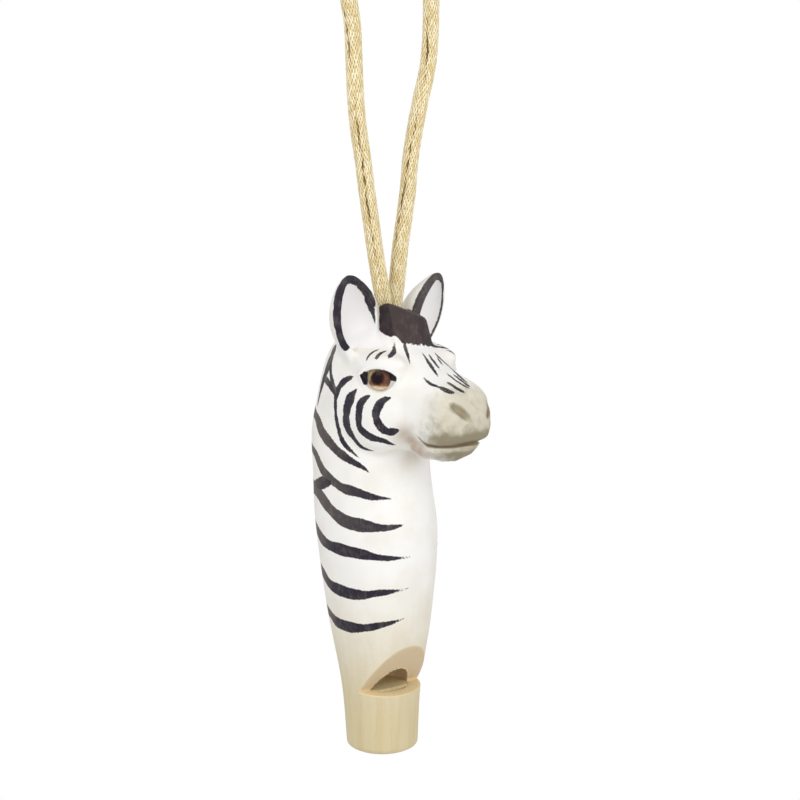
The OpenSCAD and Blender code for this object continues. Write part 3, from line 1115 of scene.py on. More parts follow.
STROKES = (
    # Near ear
    Stroke(
        ((345.5, 348), (342.3, 340), (339.5, 328), (337.4, 318), (337.2, 308), (338.6, 299),
         (341, 291), (345, 284), (350, 280.5)),
        10.6, 0.03, 0.0, twin=0.0, solid=True,
    ),
    Stroke(
        ((350, 280.5), (356, 282.5), (362, 287.5), (367, 294.5), (370, 302), (372.5, 311),
         (374.5, 320), (375, 324)),
        11.6, 0.0, 0.45, twin=0.0, solid=True,
    ),
    # Cheek
    Stroke(
        ((391, 398), (384, 400), (378, 407), (375.8, 416.5), (381, 427.5), (389, 432),
         (399, 430)),
        8.6, 0.2, 0.12, solid=True,
    ),
    Stroke(
        ((370, 395), (361, 403), (358.6, 416.5), (360, 428), (370, 436.6), (384, 441),
         (396, 445)),
        8.6, 0.12, 0.3, solid=True,
    ),
    Stroke(
        ((356.7, 389), (350, 399), (346.5, 412), (347, 426), (353, 437), (362, 447), (375, 451)),
        11.0, 0.15, 0.5, solid=True,
    ),
    Stroke(((353.5, 376.5), (344.5, 381), (338.7, 388), (336, 397)), 7.0, 0.35, 0.02, solid=True),
    Stroke(
        ((336.3, 391), (335.4, 404), (336.6, 420), (340.5, 436), (346, 446), (353, 452.5),
         (360, 459)),
        5.4, 0.05, 0.3, solid=True,
    ),
    # Nape
    Stroke(((336.5, 394), (332, 381), (330.5, 369), (332, 355)), 6.0, 0.05, 0.2, twin=0.0),
    Stroke(((324, 377), (330, 385), (336, 394)), 7.2, 0.05, 0.1, twin=0.0),
    Stroke(((335, 347), (330, 361), (325, 375), (320.5, 391), (317, 408)), 12.5, 0.05, 0.7),
    # Neck
    Stroke(
        ((317, 418), (322, 432), (330, 443), (338.5, 452), (348, 459), (362, 467), (370, 473)),
        11.0, 0.0, 0.3, nape=5.0, twin=0.88,
    ),
    Stroke(
        ((315, 453), (324, 472), (341, 487), (356, 492), (372, 497), (393, 499)),
        10.0, 0.0, 0.25, nape=4.5, twin=0.88,
    ),
    Stroke(((313, 488), (322, 483), (333, 481)), 12.0, 0.0, 0.1, nape=1.0),
    Stroke(
        ((318, 492), (332, 511), (345, 521), (365, 526), (385, 528), (404, 525)),
        13.0, 0.0, 0.25, nape=4.0, twin=0.88,
    ),
    Stroke(
        ((317, 529), (326, 543), (341, 549.5), (361, 554), (382, 558), (411, 557)),
        12.6, 0.0, 0.4, nape=4.0, twin=0.88, fade=0.38,
    ),
    Stroke(
        ((323, 572), (330, 584), (345, 592), (361, 595), (380, 593), (409, 588)),
        12.4, 0.0, 0.4, nape=3.5, twin=0.88, fade=0.26,
    ),
    Stroke(
        ((330, 613), (337, 622), (350, 627), (365, 628), (382, 625), (405, 618)),
        11.6, 0.0, 0.4, nape=3.0, twin=0.88, fade=0.26,
    ),
    # Forehead
    Stroke(((404.4, 342), (407.2, 354), (410.6, 367)), 4.0, 0.05, 0.7, twin=0.0),
    Stroke(
        ((421.8, 352), (426.5, 359), (431, 366), (435, 372), (439, 378)),
        4.4, 0.4, 0.4, twin=0.0,
    ),
    Stroke(((428.3, 353.5), (431.5, 358.5), (435, 363), (441, 370.5)), 3.4, 0.25, 0.4, twin=0.0),
    Stroke(
        ((434, 352), (437, 355.3), (440, 358.3), (445, 362.8), (450, 367.2), (453.8, 370.8),
         (457.5, 374.4), (461.2, 377.8), (465, 381.2), (470, 385.4)),
        3.4, 0.1, 0.15, twin=0.0,
    ),
    Stroke(((437, 357), (443.6, 366)), 3.2, 0.3, 0.5, twin=0.0),
    Stroke(
        ((446, 372.6), (452, 377.6), (458, 382), (464, 385.6), (471, 389.3)),
        3.0, 0.2, 0.2, twin=0.0,
    ),
    Stroke(
        ((453, 374), (457, 377.2), (461.5, 380.8), (466, 384), (470.3, 387)),
        3.2, 0.2, 0.1, twin=0.0,
    ),
    Stroke(((446.4, 382), (456.3, 388), (466, 393.5)), 4.4, 0.2, 0.3, twin=0.0),
    Stroke(((423.2, 377), (428.6, 382.6), (434, 385.2), (440, 387.6)), 3.2, 0.4, 0.1, twin=0.0),
    Stroke(((438, 386.6), (444, 388.4), (450, 391.4)), 3.4, 0.3, 0.3, twin=0.0),
    Stroke(((439.5, 388.4), (447, 392), (455.5, 394.2)), 3.0, 0.2, 0.3, twin=0.0),
    Stroke(((446, 388), (450, 391), (455, 393)), 3.0, 0.3, 0.2, twin=0.0),
    # Near brow
    Stroke(((366, 362.5), (370, 354.5), (379.6, 348.7)), 3.0, 0.3, 0.3),
    Stroke(((376, 359), (378.5, 355), (387, 350.4)), 4.2, 0.1, 0.5),
    Stroke(((394, 342), (394, 351), (389, 358.5)), 5.6, 0.5, 0.12),
    # Far brow
    Stroke(((440.5, 345.5), (446, 346), (451, 347.5)), 3.4, 0.3, 0.3, twin=0.0),
    Stroke(((446, 350), (452, 352), (456, 358)), 3.6, 0.4, 0.3, twin=0.0),
)


def along(path: Array, spacing: float) -> Array:
    """Points evenly spaced on a smooth curve through a path's points.

    Args:
        path: The points to run through.
        spacing: Distance between points of the curve.

    Returns:
        The curve's points.
    """
    reach = np.concatenate([[0.0], np.cumsum(np.linalg.norm(np.diff(path, axis=0), axis=1))])
    rows = np.column_stack([reach, path])
    count = max(2, int(round(reach[-1] / spacing)) + 1)
    return through(tuple(map(tuple, rows)), np.linspace(0.0, reach[-1], count))


@dataclass(frozen=True)
class Brushwork:
    """The painter's strokes, laid on the carving."""

    strokes: tuple[Stroke, ...] = STROKES
    spacing: float = 0.2
    # How worn an even stroke is, and the freshest part of one that runs round the neck
    even: float = 0.4
    freshest: float = 0.35
    # Degrees from the nape at which strokes run on round the neck, and where they start in sight
    lead: Spot = (0.0, 15.0, 30.0)
    lead_end: float = 45.0
    # Height in millimetres by which twins sway, and the angle from one's sway to the next's
    twin_sway: float = 0.5
    twin_turn: float = 2.3
    mane_width: float = 3.2
    mane_top: float = 2.0
    mane_foot: float = 50.0
    mane_opening: Span = (-0.02, 0.25)
    mane_taper: float = 0.6
    # How worn the mane's line is at its top, and what it gains downward
    mane_worn: Span = (0.4, 0.4)

    def lay(self, carving: Carving, view: PhotoView) -> list[tuple[Array, Array, Array]]:
        """Lay every stroke and its twin.

        Args:
            carving: What is painted.
            view: The camera that saw the strokes.

        Returns:
            For each pull of the brush, points along it, with its half width and how worn it is.
        """
        pixels = np.concatenate([np.array(s.pixels, float) for s in self.strokes])
        spots = view.touch(carving, pixels)
        pulls, first = [], 0
        for number, stroke in enumerate(self.strokes):
            path = spots[first : first + len(stroke.pixels)]
            first += len(stroke.pixels)
            start = path[0]
            if stroke.nape is not None:
                rises = [stroke.nape * (1.0 - d / self.lead_end) for d in self.lead]
                lead = [carving.neck.nape(start[2] + r, d) for r, d in zip(rises, self.lead)]
                path = np.concatenate([lead, path])
            path = along(path, self.spacing)
            half = self.half_width(stroke, view, len(path), number)
            first_seen = np.linalg.norm(path - start, axis=1).argmin()
            seen = (len(path) - first_seen) * stroke.fade
            worn = np.clip(1.0 - (np.arange(len(path)) - first_seen) / seen, 0.0, 1.0)
            if stroke.nape is not None:
                worn = self.freshest + (1.0 - self.freshest) * worn
            if stroke.solid:
                worn = np.full(len(path), self.even)
            pulls.append((path, half, worn))
            if stroke.twin > 0.0:
                count = int(stroke.twin * len(path))
                sway = np.array([0.0, 0.0, self.twin_sway * math.sin(self.twin_turn * number)])
                twin = path[:count] * np.array([1.0, -1.0, 1.0]) + sway
                half = self.half_width(stroke, view, count, number)
                pulls.append((twin, half, worn[:count]))
        return pulls + [self.mane(carving.neck)]

    def mane(self, neck: Neck) -> tuple[Array, Array, Array]:
        """The dark line down the nape, as one more pull of the brush.

        Args:
            neck: What is painted.

        Returns:
            Points along it, with its half width and how worn it is.
        """
        count, shake, waves = 24, 0.1, 37.0
        heights = np.linspace(neck.poll - self.mane_top, self.mane_foot, count)
        path = along(np.array([neck.nape(z, 0.0) for z in heights]), self.spacing)
        share = np.linspace(0.0, 1.0, len(path))
        hand = (1.0 + shake * np.sin(waves * share)) * smooth_step(*self.mane_opening, share)
        half = 0.5 * self.mane_width * (1.0 - self.mane_taper * share) * hand
        top, gain = self.mane_worn
        return path, half, top + gain * share

    @staticmethod
    def half_width(stroke: Stroke, view: PhotoView, count: int, number: int) -> Array:
        """Half width of a stroke in millimetres, at points along it.

        Args:
            stroke: The stroke.
            view: The camera that saw it.
            count: How many points it has.
            number: Its place in the order, which sets the hand's unevenness.

        Returns:
            One half width for each point.
        """
        least, round_start, round_end = 1e-3, 0.6, 0.65
        s = np.linspace(0.0, 1.0, count)
        opening = np.clip(s / max(stroke.start, least), 0.0, 1.0) ** round_start
        closing = np.clip((1.0 - s) / max(stroke.end, least), 0.0, 1.0) ** round_end
        slow, quick = np.sin(19.0 * s + number), np.sin(41.0 * s + 2.0 * number)
        hand = 1.0 + 0.08 * slow + 0.05 * quick
        return 0.5 * stroke.width * view.distance / view.focal * opening * closing * hand


def to_strokes(points: Array, pulls: list[tuple[Array, Array, Array]]) -> tuple[Array, Array]:
    """Find the nearest stroke to each point.

    Args:
        points: Points on the carving.
        pulls: Points along each stroke, its half width there, and how worn it is there.

    Returns:
        Distance to the stroke's edge, negative on it, and how worn the stroke is.
    """
    reach, batch = 3.0, 4000
    edge, wear = np.full(len(points), FAR), np.zeros(len(points))
    for path, half, worn in pulls:
        low, high = path.min(axis=0) - reach, path.max(axis=0) + reach
        near = np.flatnonzero(((points > low) & (points < high)).all(axis=1))
        for part in np.array_split(near, len(near) // batch + 1):
            if not len(part):
                continue
            gap = np.linalg.norm(points[part][:, None] - path[None], axis=2) - half
            spot = gap.argmin(axis=1)
            gap = gap.min(axis=1)
            closer = gap < edge[part]
            edge[part[closer]], wear[part[closer]] = gap[closer], worn[spot[closer]]
    return edge, wear


@dataclass(frozen=True)
class EarBand:
    """The dark band along the left ear's rim, with heights as shares of the ear's."""

    # How far out of the hollow it reaches on the ear's inner and outer half, what it gains
    # upward, and the heights between which it gains it
    inner_reach: float = 1.5
    inner_gain: float = 0.5
    inner_span: Span = (0.78, 0.9)
    outer_reach: float = 0.15
    outer_gain: float = 1.25
    outer_span: Span = (0.75, 0.95)
    # Width of the rim, how far back over it the band runs, and where across and up
    rim: float = 0.6
    over: float = 1.9
    over_across: Span = (1.5, -1.5)
    over_up: Span = (0.25, 0.6)
    # Where it starts in front of the rim, beyond the rim and on it
    front_beyond: float = -0.7
    front_on: float = 0.2
    # Millimetres above the ear's foot that it starts on each half, and the round between them
    outer_foot: float = 1.9
    inner_foot: float = 4.2
    foot_round: float = 4.6
    # How near the ear's skin a point of the ear is
    near: float = 0.8

    def distance(self, ear: Ear, points: Array) -> Array:
        """Distance to the band, negative on it.

        Args:
            ear: The ears.
            points: Points on the carving.

        Returns:
            One distance for each point.
        """
        q = ear.local(points)
        hollow = ear.hollow(q)
        outer, share = q[:, 1] > 0.0, q[:, 2] / ear.height
        inner_reach = self.inner_reach + self.inner_gain * smooth_step(*self.inner_span, share)
        outer_reach = self.outer_reach + self.outer_gain * smooth_step(*self.outer_span, share)
        into = smooth_step(*self.over_across, q[:, 1]) * smooth_step(*self.over_up, share)
        into *= self.over * smooth_step(self.rim, 0.0, hollow)
        front = np.where(hollow > self.rim, self.front_beyond, self.front_on - into)
        band = np.maximum(hollow - np.where(outer, outer_reach, inner_reach), front - q[:, 0])
        foot = np.where(outer, self.outer_foot, self.inner_foot)
        foot = np.maximum(foot, self.foot_round - np.abs(q[:, 1]))
        band = np.maximum(band, foot - q[:, 2])
        left = (points[:, 1] > 0.0) & (np.abs(ear.distance(points)) < self.near)
        return np.where(left, band, FAR)


@dataclass(frozen=True)
class EyeCorners:
    """The dark corners of the eyes, one behind the glass and one before it."""

    # How far from the eye's middle each starts, and its lowest level
    behind_from: float = 2.45
    behind_foot: float = -1.4
    before_from: float = 1.6
    before_foot: float = -0.45
    # Millimetres beyond the almond's outline, and in and out of the head
    over: float = 0.2
    depth: float = 2.5

    def distance(self, seat: EyeSeat, points: Array) -> Array:
        """Distance to the corners, negative on them.

        Args:
            seat: The eyes' openings.
            points: Points on the carving.

        Returns:
            One distance for each point.
        """
        q = seat.local(points)
        behind = q[:, 0] < 0.0
        starts = np.where(behind, self.behind_from, self.before_from)
        foot = np.where(behind, self.behind_foot, self.before_foot)
        corner = np.maximum(seat.almond(q) - self.over, starts - np.abs(q[:, 0]))
        corner = np.maximum(corner, foot - q[:, 1])
        return np.where(np.abs(q[:, 2]) < self.depth, corner, FAR)


@dataclass(frozen=True)
class MuzzleShade:
    """One patch on the muzzle, darker by its weight, and lighter where the weight is below 0.

    Attributes:
        weight: How much darker it is.
        steps: The axes that bound it, each with the places where it is none and all there.
    """

    weight: float
    steps: tuple[tuple[int, float, float], ...]

    def tone(self, points: Array) -> Array:
        """How much darker points are."""
        steps = [smooth_step(low, high, points[:, axis]) for axis, low, high in self.steps]
        return self.weight * reduce(np.multiply, steps)


X, Z = 0, 2
MUZZLE_SHADES = (
    # Painted shade on the snout's lower half
    MuzzleShade(0.2, ((Z, 77.0, 72.0), (X, 15.0, 20.0))),
    # Painted shade over the mouth, under the upper lip
    MuzzleShade(0.5, ((Z, 71.8, 69.0), (Z, 68.0, 68.6))),
    # Painted shade on the chin, with a painted highlight on the lip's edge
    MuzzleShade(0.8, ((Z, 67.5, 66.2),)),
    MuzzleShade(-0.2, ((Z, 68.6, 68.1),)),
    # Darker at the front
    MuzzleShade(0.3, ((X, 21.5, 25.0), (Z, 72.5, 69.5))),
)


# Finishes


class Graph:
    """A material's node tree, with short calls for the nodes that the finishes use."""

    def __init__(self, name: str) -> None:
        """Start a material with a Principled shader.

        Args:
            name: Name of the material.
        """
        self.material = bpy.data.materials.new(name)
        self.material.use_nodes = True
        self.tree = self.material.node_tree
        self.tree.nodes.clear()
        self.output = self.tree.nodes.new("ShaderNodeOutputMaterial")
        self.shader = self.tree.nodes.new("ShaderNodeBsdfPrincipled")
        self.tree.links.new(self.shader.outputs[0], self.output.inputs["Surface"])

    def put(self, socket: Socket, value: object) -> None:
        """Link a socket to another, or set its constant.

        Args:
            socket: The socket to feed.
            value: The socket to link it to, or the constant.
        """
        if isinstance(value, Socket):
            self.tree.links.new(value, socket)
        elif isinstance(value, tuple) and len(value) == 3 and socket.type == "RGBA":
            socket.default_value = (*value, 1.0)
        else:
            socket.default_value = value

    def set(self, **values: object) -> None:
        """Set the shader's own sockets, by their names with _ for a space."""
        for name, value in values.items():
            self.put(self.shader.inputs[name.replace("_", " ")], value)

    def place(self, scale: Spot = (1.0, 1.0, 1.0)) -> Socket:
        """Object coordinates, stretched by a scale.

        Args:
            scale: The stretch along each axis.

        Returns:
            The coordinates.
        """
        coordinates = self.tree.nodes.new("ShaderNodeTexCoord")
        mapping = self.tree.nodes.new("ShaderNodeMapping")
        mapping.inputs["Scale"].default_value = scale
        self.tree.links.new(coordinates.outputs["Object"], mapping.inputs["Vector"])
        return mapping.outputs["Vector"]

    def noise(self, place: Socket, size: float, detail: float = 3.0) -> Socket:
        """Noise about 0.5.

        Args:
            place: Coordinates to read it at.
            size: Size of its features in millimetres.
            detail: How many finer layers it has.

        Returns:
            The noise.
        """
        node = self.tree.nodes.new("ShaderNodeTexNoise")
        self.put(node.inputs["Vector"], place)
        node.inputs["Scale"].default_value = 1.0 / (size * MM)
        node.inputs["Detail"].default_value = detail
        return node.outputs["Fac"]

    def math(self, operation: str, a: object, b: object = 0.0) -> Socket:
        """One sum on two values.

        Args:
            operation: Which sum.
            a: The first value.
            b: The second value.

        Returns:
            The result.
        """
        node = self.tree.nodes.new("ShaderNodeMath")
        node.operation = operation
        self.put(node.inputs[0], a)
        self.put(node.inputs[1], b)
        return node.outputs[0]

    def add(self, a: object, b: object) -> Socket:
        """The sum of two values."""
        return self.math("ADD", a, b)

    def scale(self, value: object, by: object) -> Socket:
        """A value times another."""
        return self.math("MULTIPLY", value, by)

    def sway(self, noise: Socket, by: float) -> Socket:
        """Noise about 0 instead of 0.5, times a number."""
        return self.scale(self.math("SUBTRACT", noise, 0.5), by)

    def step(self, value: Socket, low: float, high: float) -> Socket:
        """A soft step from 0 to 1, up or down the value.

        Args:
            value: What to step on.
            low: Where the step is 0.
            high: Where the step is 1.

        Returns:
            The step.
        """
        node = self.tree.nodes.new("ShaderNodeMapRange")
        node.interpolation_type = "SMOOTHSTEP"
        self.put(node.inputs["Value"], value)
        ends = ((low, 0.0), (high, 1.0)) if low < high else ((high, 1.0), (low, 0.0))
        for name, number in zip(("From Min", "To Min", "From Max", "To Max"), ends[0] + ends[1]):
            node.inputs[name].default_value = number
        return node.outputs["Result"]

    def shade(self, share: object, a: object, b: object) -> Socket:
        """One colour turning into another.

        Args:
            share: How far it has turned.
            a: The colour at 0.
            b: The colour at 1.

        Returns:
            The colour.
        """
        node = self.tree.nodes.new("ShaderNodeMix")
        node.data_type = "RGBA"
        self.put(node.inputs["Factor"], share)
        self.put([s for s in node.inputs if s.name == "A" and s.type == "RGBA"][0], a)
        self.put([s for s in node.inputs if s.name == "B" and s.type == "RGBA"][0], b)
        return [s for s in node.outputs if s.type == "RGBA"][0]

    def read(self, name: str) -> Socket:
        """The number that tag() kept for each point.

        Args:
            name: Name of the numbers.

        Returns:
            The number.
        """
        node = self.tree.nodes.new("ShaderNodeAttribute")
        node.attribute_name = name
        return node.outputs["Fac"]

    def bump(self, height: Socket, rise: float) -> None:
        """Raise the surface.

        Args:
            height: The surface's height, from 0 to 1.
            rise: Millimetres that 1 stands for.
        """
        node = self.tree.nodes.new("ShaderNodeBump")
        node.inputs["Strength"].default_value = 1.0
        node.inputs["Distance"].default_value = rise * MM
        self.put(node.inputs["Height"], height)
        self.put(self.shader.inputs["Normal"], node.outputs["Normal"])


@dataclass(frozen=True)
class BareWood:
    """Pale close-grained wood, with its grain up the whistle."""

    pale: Colour = srgb(215, 201, 162)
    deep: Colour = srgb(210, 194, 152)
    pore: Colour = srgb(184, 160, 114)

    def colour(self, graph: Graph) -> Socket:
        """The wood's colour.

        Args:
            graph: The material that it goes in.

        Returns:
            The colour.
        """
        growth = graph.noise(graph.place((1.0, 1.0, 0.05)), 1.6, 4.0)
        fibre = graph.noise(graph.place((1.0, 1.0, 0.035)), 0.32, 2.0)
        tone = graph.shade(graph.step(growth, 0.35, 0.68), self.pale, self.deep)
        return graph.shade(graph.scale(graph.step(fibre, 0.58, 0.75), 0.2), tone, self.pore)

    def relief(self, graph: Graph) -> Socket:
        """The height of its fibres."""
        return graph.noise(graph.place((1.0, 1.0, 0.04)), 0.3, 3.0)


@dataclass(frozen=True)
class PaintedWood:
    """The carving's finish: brushed paint that fades to bare wood at the mouth end."""

    wood: BareWood = BareWood()
    ramp_cut: Colour = srgb(216, 196, 164)
    fresh_cut: Colour = srgb(240, 220, 174)
    # Lighter and warmer than the cut wood: painted light in the shaded bore
    bore_wall_lightened: Colour = srgb(255, 231, 196)
    white: Colour = srgb(246, 245, 242)
    cream: Colour = srgb(240, 237, 230)
    cup: Colour = srgb(246, 244, 243)
    muzzle_pale: Colour = srgb(212, 206, 186)
    muzzle_deep: Colour = srgb(146, 136, 112)
    mouth_groove_shade: Colour = srgb(124, 111, 85)
    # Painted shadow behind the mouth
    painted_mouth_shadow: Colour = srgb(178, 158, 138)
    ink: Colour = srgb(27, 21, 38)
    ink_dry: Colour = srgb(99, 91, 87)
    tuft: Colour = srgb(34, 23, 26)
    # Drier paint, and painted light on the tuft's lighter facets
    tuft_dry_and_lit: Colour = srgb(86, 70, 67)

    def make(self) -> bpy.types.Material:
        """Make the material.

        Returns:
            The material.
        """
        g = Graph("painted_wood_finish")
        here = g.place()
        fine, mid, broad = g.noise(here, 0.35, 4.0), g.noise(here, 1.6, 4.0), g.noise(here, 7.0)
        pull = g.noise(g.place((1.0, 1.0, 0.25)), 0.5, 3.0)
        ragged = g.sway(fine, 0.5)
        dry = g.step(g.add(g.scale(mid, 0.7), g.scale(pull, 0.4)), 0.46, 0.82)
        # White paint, thinning downward to bare wood
        cover = g.step(g.add(g.read("height"), g.sway(mid, 6.0)), 5.0, 44.0)
        paint = g.shade(g.step(broad, 0.35, 0.7), self.white, self.cream)
        colour = g.shade(cover, self.wood.colour(g), paint)
        # Soft grey paint: the muzzle with painted shade and a painted highlight on it, painted
        # shade behind the mouth, in creases and in the mouth's groove, and the ears' white cups
        muzzle = g.step(g.add(g.read("muzzle"), g.sway(mid, 5.0)), -3.4, 3.0)
        grey = g.step(g.add(g.scale(mid, 0.6), g.read("snout_tone")), 0.3, 1.0)
        colour = g.shade(muzzle, colour, g.shade(grey, self.muzzle_pale, self.muzzle_deep))
        # Painted shadow behind the mouth
        colour = g.shade(g.scale(g.read("painted_mouth_shadow"), 0.75), colour, self.painted_mouth_shadow)
        # Painted shade in creases, in the wood's pore colour
        colour = g.shade(g.scale(g.read("crease"), 0.25), colour, self.wood.pore)
        # Painted shade in the mouth's groove
        colour = g.shade(g.step(g.read("lips"), 0.2, 0.75), colour, self.mouth_groove_shade)
        colour = g.shade(g.read("cup"), colour, self.cup)
        # Stripes, ragged at their edges and drier where they are worn
        tail = g.scale(g.step(g.read("worn"), 0.3, 0.02), g.math("SUBTRACT", pull, 0.42))
        stripe = g.add(g.add(g.read("stripe"), ragged), g.scale(tail, 0.6))
        stripe = g.step(stripe, 0.08, -0.1)
        worn = g.add(g.scale(dry, 0.6), g.scale(g.step(g.read("worn"), 0.4, 1.0), 0.7))
        colour = g.shade(stripe, colour, g.shade(worn, self.ink, self.ink_dry))
        # The tuft's dark paint, drier in places, with painted light and shade on its facets
        hem = g.add(g.scale(ragged, 1.4), g.sway(mid, 1.6))
        lock = g.step(g.add(g.read("lock"), hem), 0.1, -0.12)
        dry_and_facet_light = g.add(g.scale(dry, 0.65), g.scale(g.read("lock_facet_light"), 0.36))
        colour = g.shade(lock, colour, g.shade(dry_and_facet_light, self.tuft, self.tuft_dry_and_lit))
        # Wood that the window's cuts laid bare
        cut = g.step(g.read("cut"), 0.35, 0.1)
        bared = g.shade(g.read("shelf"), self.ramp_cut, self.fresh_cut)
        # Painted light: a lighter, warmer copy of the cut wood on the bore's wall
        bared = g.shade(g.read("bore"), bared, self.bore_wall_lightened)
        colour = g.shade(cut, colour, g.shade(g.scale(pull, 0.35), bared, self.wood.pore))
        rough = g.add(0.5, g.scale(mid, 0.25))
        g.set(Base_Color=colour, Roughness=rough, Specular_IOR_Level=0.35)
        bare = g.scale(g.math("SUBTRACT", 1.0, cover), self.wood.relief(g))
        ridge = g.add(g.scale(pull, 0.5), g.scale(stripe, 0.25))
        g.bump(g.add(bare, ridge), 0.05)
        return g.material


@dataclass(frozen=True)
class PlugWood:
    """The plug's wood, with the end grain of a turned dowel."""

    wood: BareWood = BareWood(srgb(244, 228, 182), srgb(232, 212, 160), srgb(198, 170, 116))
    ring: Colour = srgb(220, 196, 142)

    def make(self) -> bpy.types.Material:
        """Make the material.

        Returns:
            The material.
        """
        g = Graph("plug_wood_finish")
        rings = g.tree.nodes.new("ShaderNodeTexWave")
        rings.wave_type = "RINGS"
        rings.rings_direction = "Z"
        g.put(rings.inputs["Vector"], g.place())
        for name, value in (("Scale", 260.0), ("Distortion", 2.5), ("Detail", 3.0)):
            rings.inputs[name].default_value = value
        colour = g.shade(g.scale(rings.outputs["Fac"], 0.5), self.wood.colour(g), self.ring)
        pores = g.noise(g.place(), 0.25, 3.0)
        g.set(Base_Color=colour, Roughness=g.add(0.6, g.scale(pores, 0.25)))
        g.bump(pores, 0.06)
        return g.material


@dataclass(frozen=True)
class EyeGlass:
    """A glass eye: dark pupil, brown iris, and pale rim, under a clear dome, with a painted
    reflection in olive at its upper back.
    """

    pupil: Colour = srgb(26, 10, 12)
    inner: Colour = srgb(54, 24, 20)
    iris: Colour = srgb(112, 76, 60)
    olive_reflection: Colour = srgb(176, 160, 118)
    rust: Colour = srgb(152, 98, 56)
    pale: Colour = srgb(240, 226, 200)

    def make(self) -> bpy.types.Material:
        """Make the material.

        Returns:
            The material.
        """
        g = Graph("eye_glass_finish")
        fleck = g.sway(g.noise(g.place(), 0.4, 4.0), 0.3)
        out = g.add(g.read("from_pupil"), fleck)
        low = g.add(g.read("below"), g.scale(fleck, 0.7))
        # Painted reflection: olive over the iris at its upper back
        ring = g.shade(g.step(g.add(g.read("rear"), fleck), 0.15, 0.5), self.iris, self.olive_reflection)
        ring = g.shade(g.step(low, 0.3, 0.55), ring, self.rust)
        ring = g.shade(g.step(low, 0.5, 0.76), ring, self.pale)
        colour = g.shade(g.step(out, 0.75, 0.45), ring, self.inner)
        colour = g.shade(g.step(out, 0.56, 0.34), colour, self.pupil)
        g.set(Base_Color=colour, Roughness=0.3, Specular_IOR_Level=0.05)
        g.set(Coat_Weight=0.18, Coat_Roughness=0.1)
        return g.material


@dataclass(frozen=True)
class SatinBraid:
    """Satin yarn of the braided cord."""

    # Painted shade in the gaps between yarns and in the crease, and a painted highlight on the
    # yarns' crowns
    dark: Colour = srgb(120, 90, 40)
    tan: Colour = srgb(222, 198, 140)
    gold_highlight: Colour = srgb(250, 240, 204)

    def make(self) -> bpy.types.Material:
        """Make the material.

        Returns:
            The material.
        """
        g = Graph("satin_braid_finish")
        fibre = g.noise(g.place((1.0, 1.0, 0.12)), 0.12, 3.0)
        patch = g.noise(g.place(), 3.5, 3.0)
        # Painted highlight on the yarns' crowns and painted shade in their gaps and the crease,
        # over tone that differs at random
        crown = g.add(g.read("crown"), g.sway(fibre, 0.5))
        shine = g.add(g.sway(patch, 0.5), g.read("yarn_tone"))
        body = g.shade(g.step(g.add(crown, shine), 0.4, 1.2), self.tan, self.gold_highlight)
        colour = g.shade(g.step(crown, 0.72, 0.3), body, self.dark)
        g.set(Base_Color=colour, Roughness=g.add(0.3, g.scale(fibre, 0.2)))
        g.set(Specular_IOR_Level=0.5, Sheen_Weight=0.15, Sheen_Roughness=0.4)
        g.bump(fibre, 0.03)
        return g.material


# Sub-assemblies


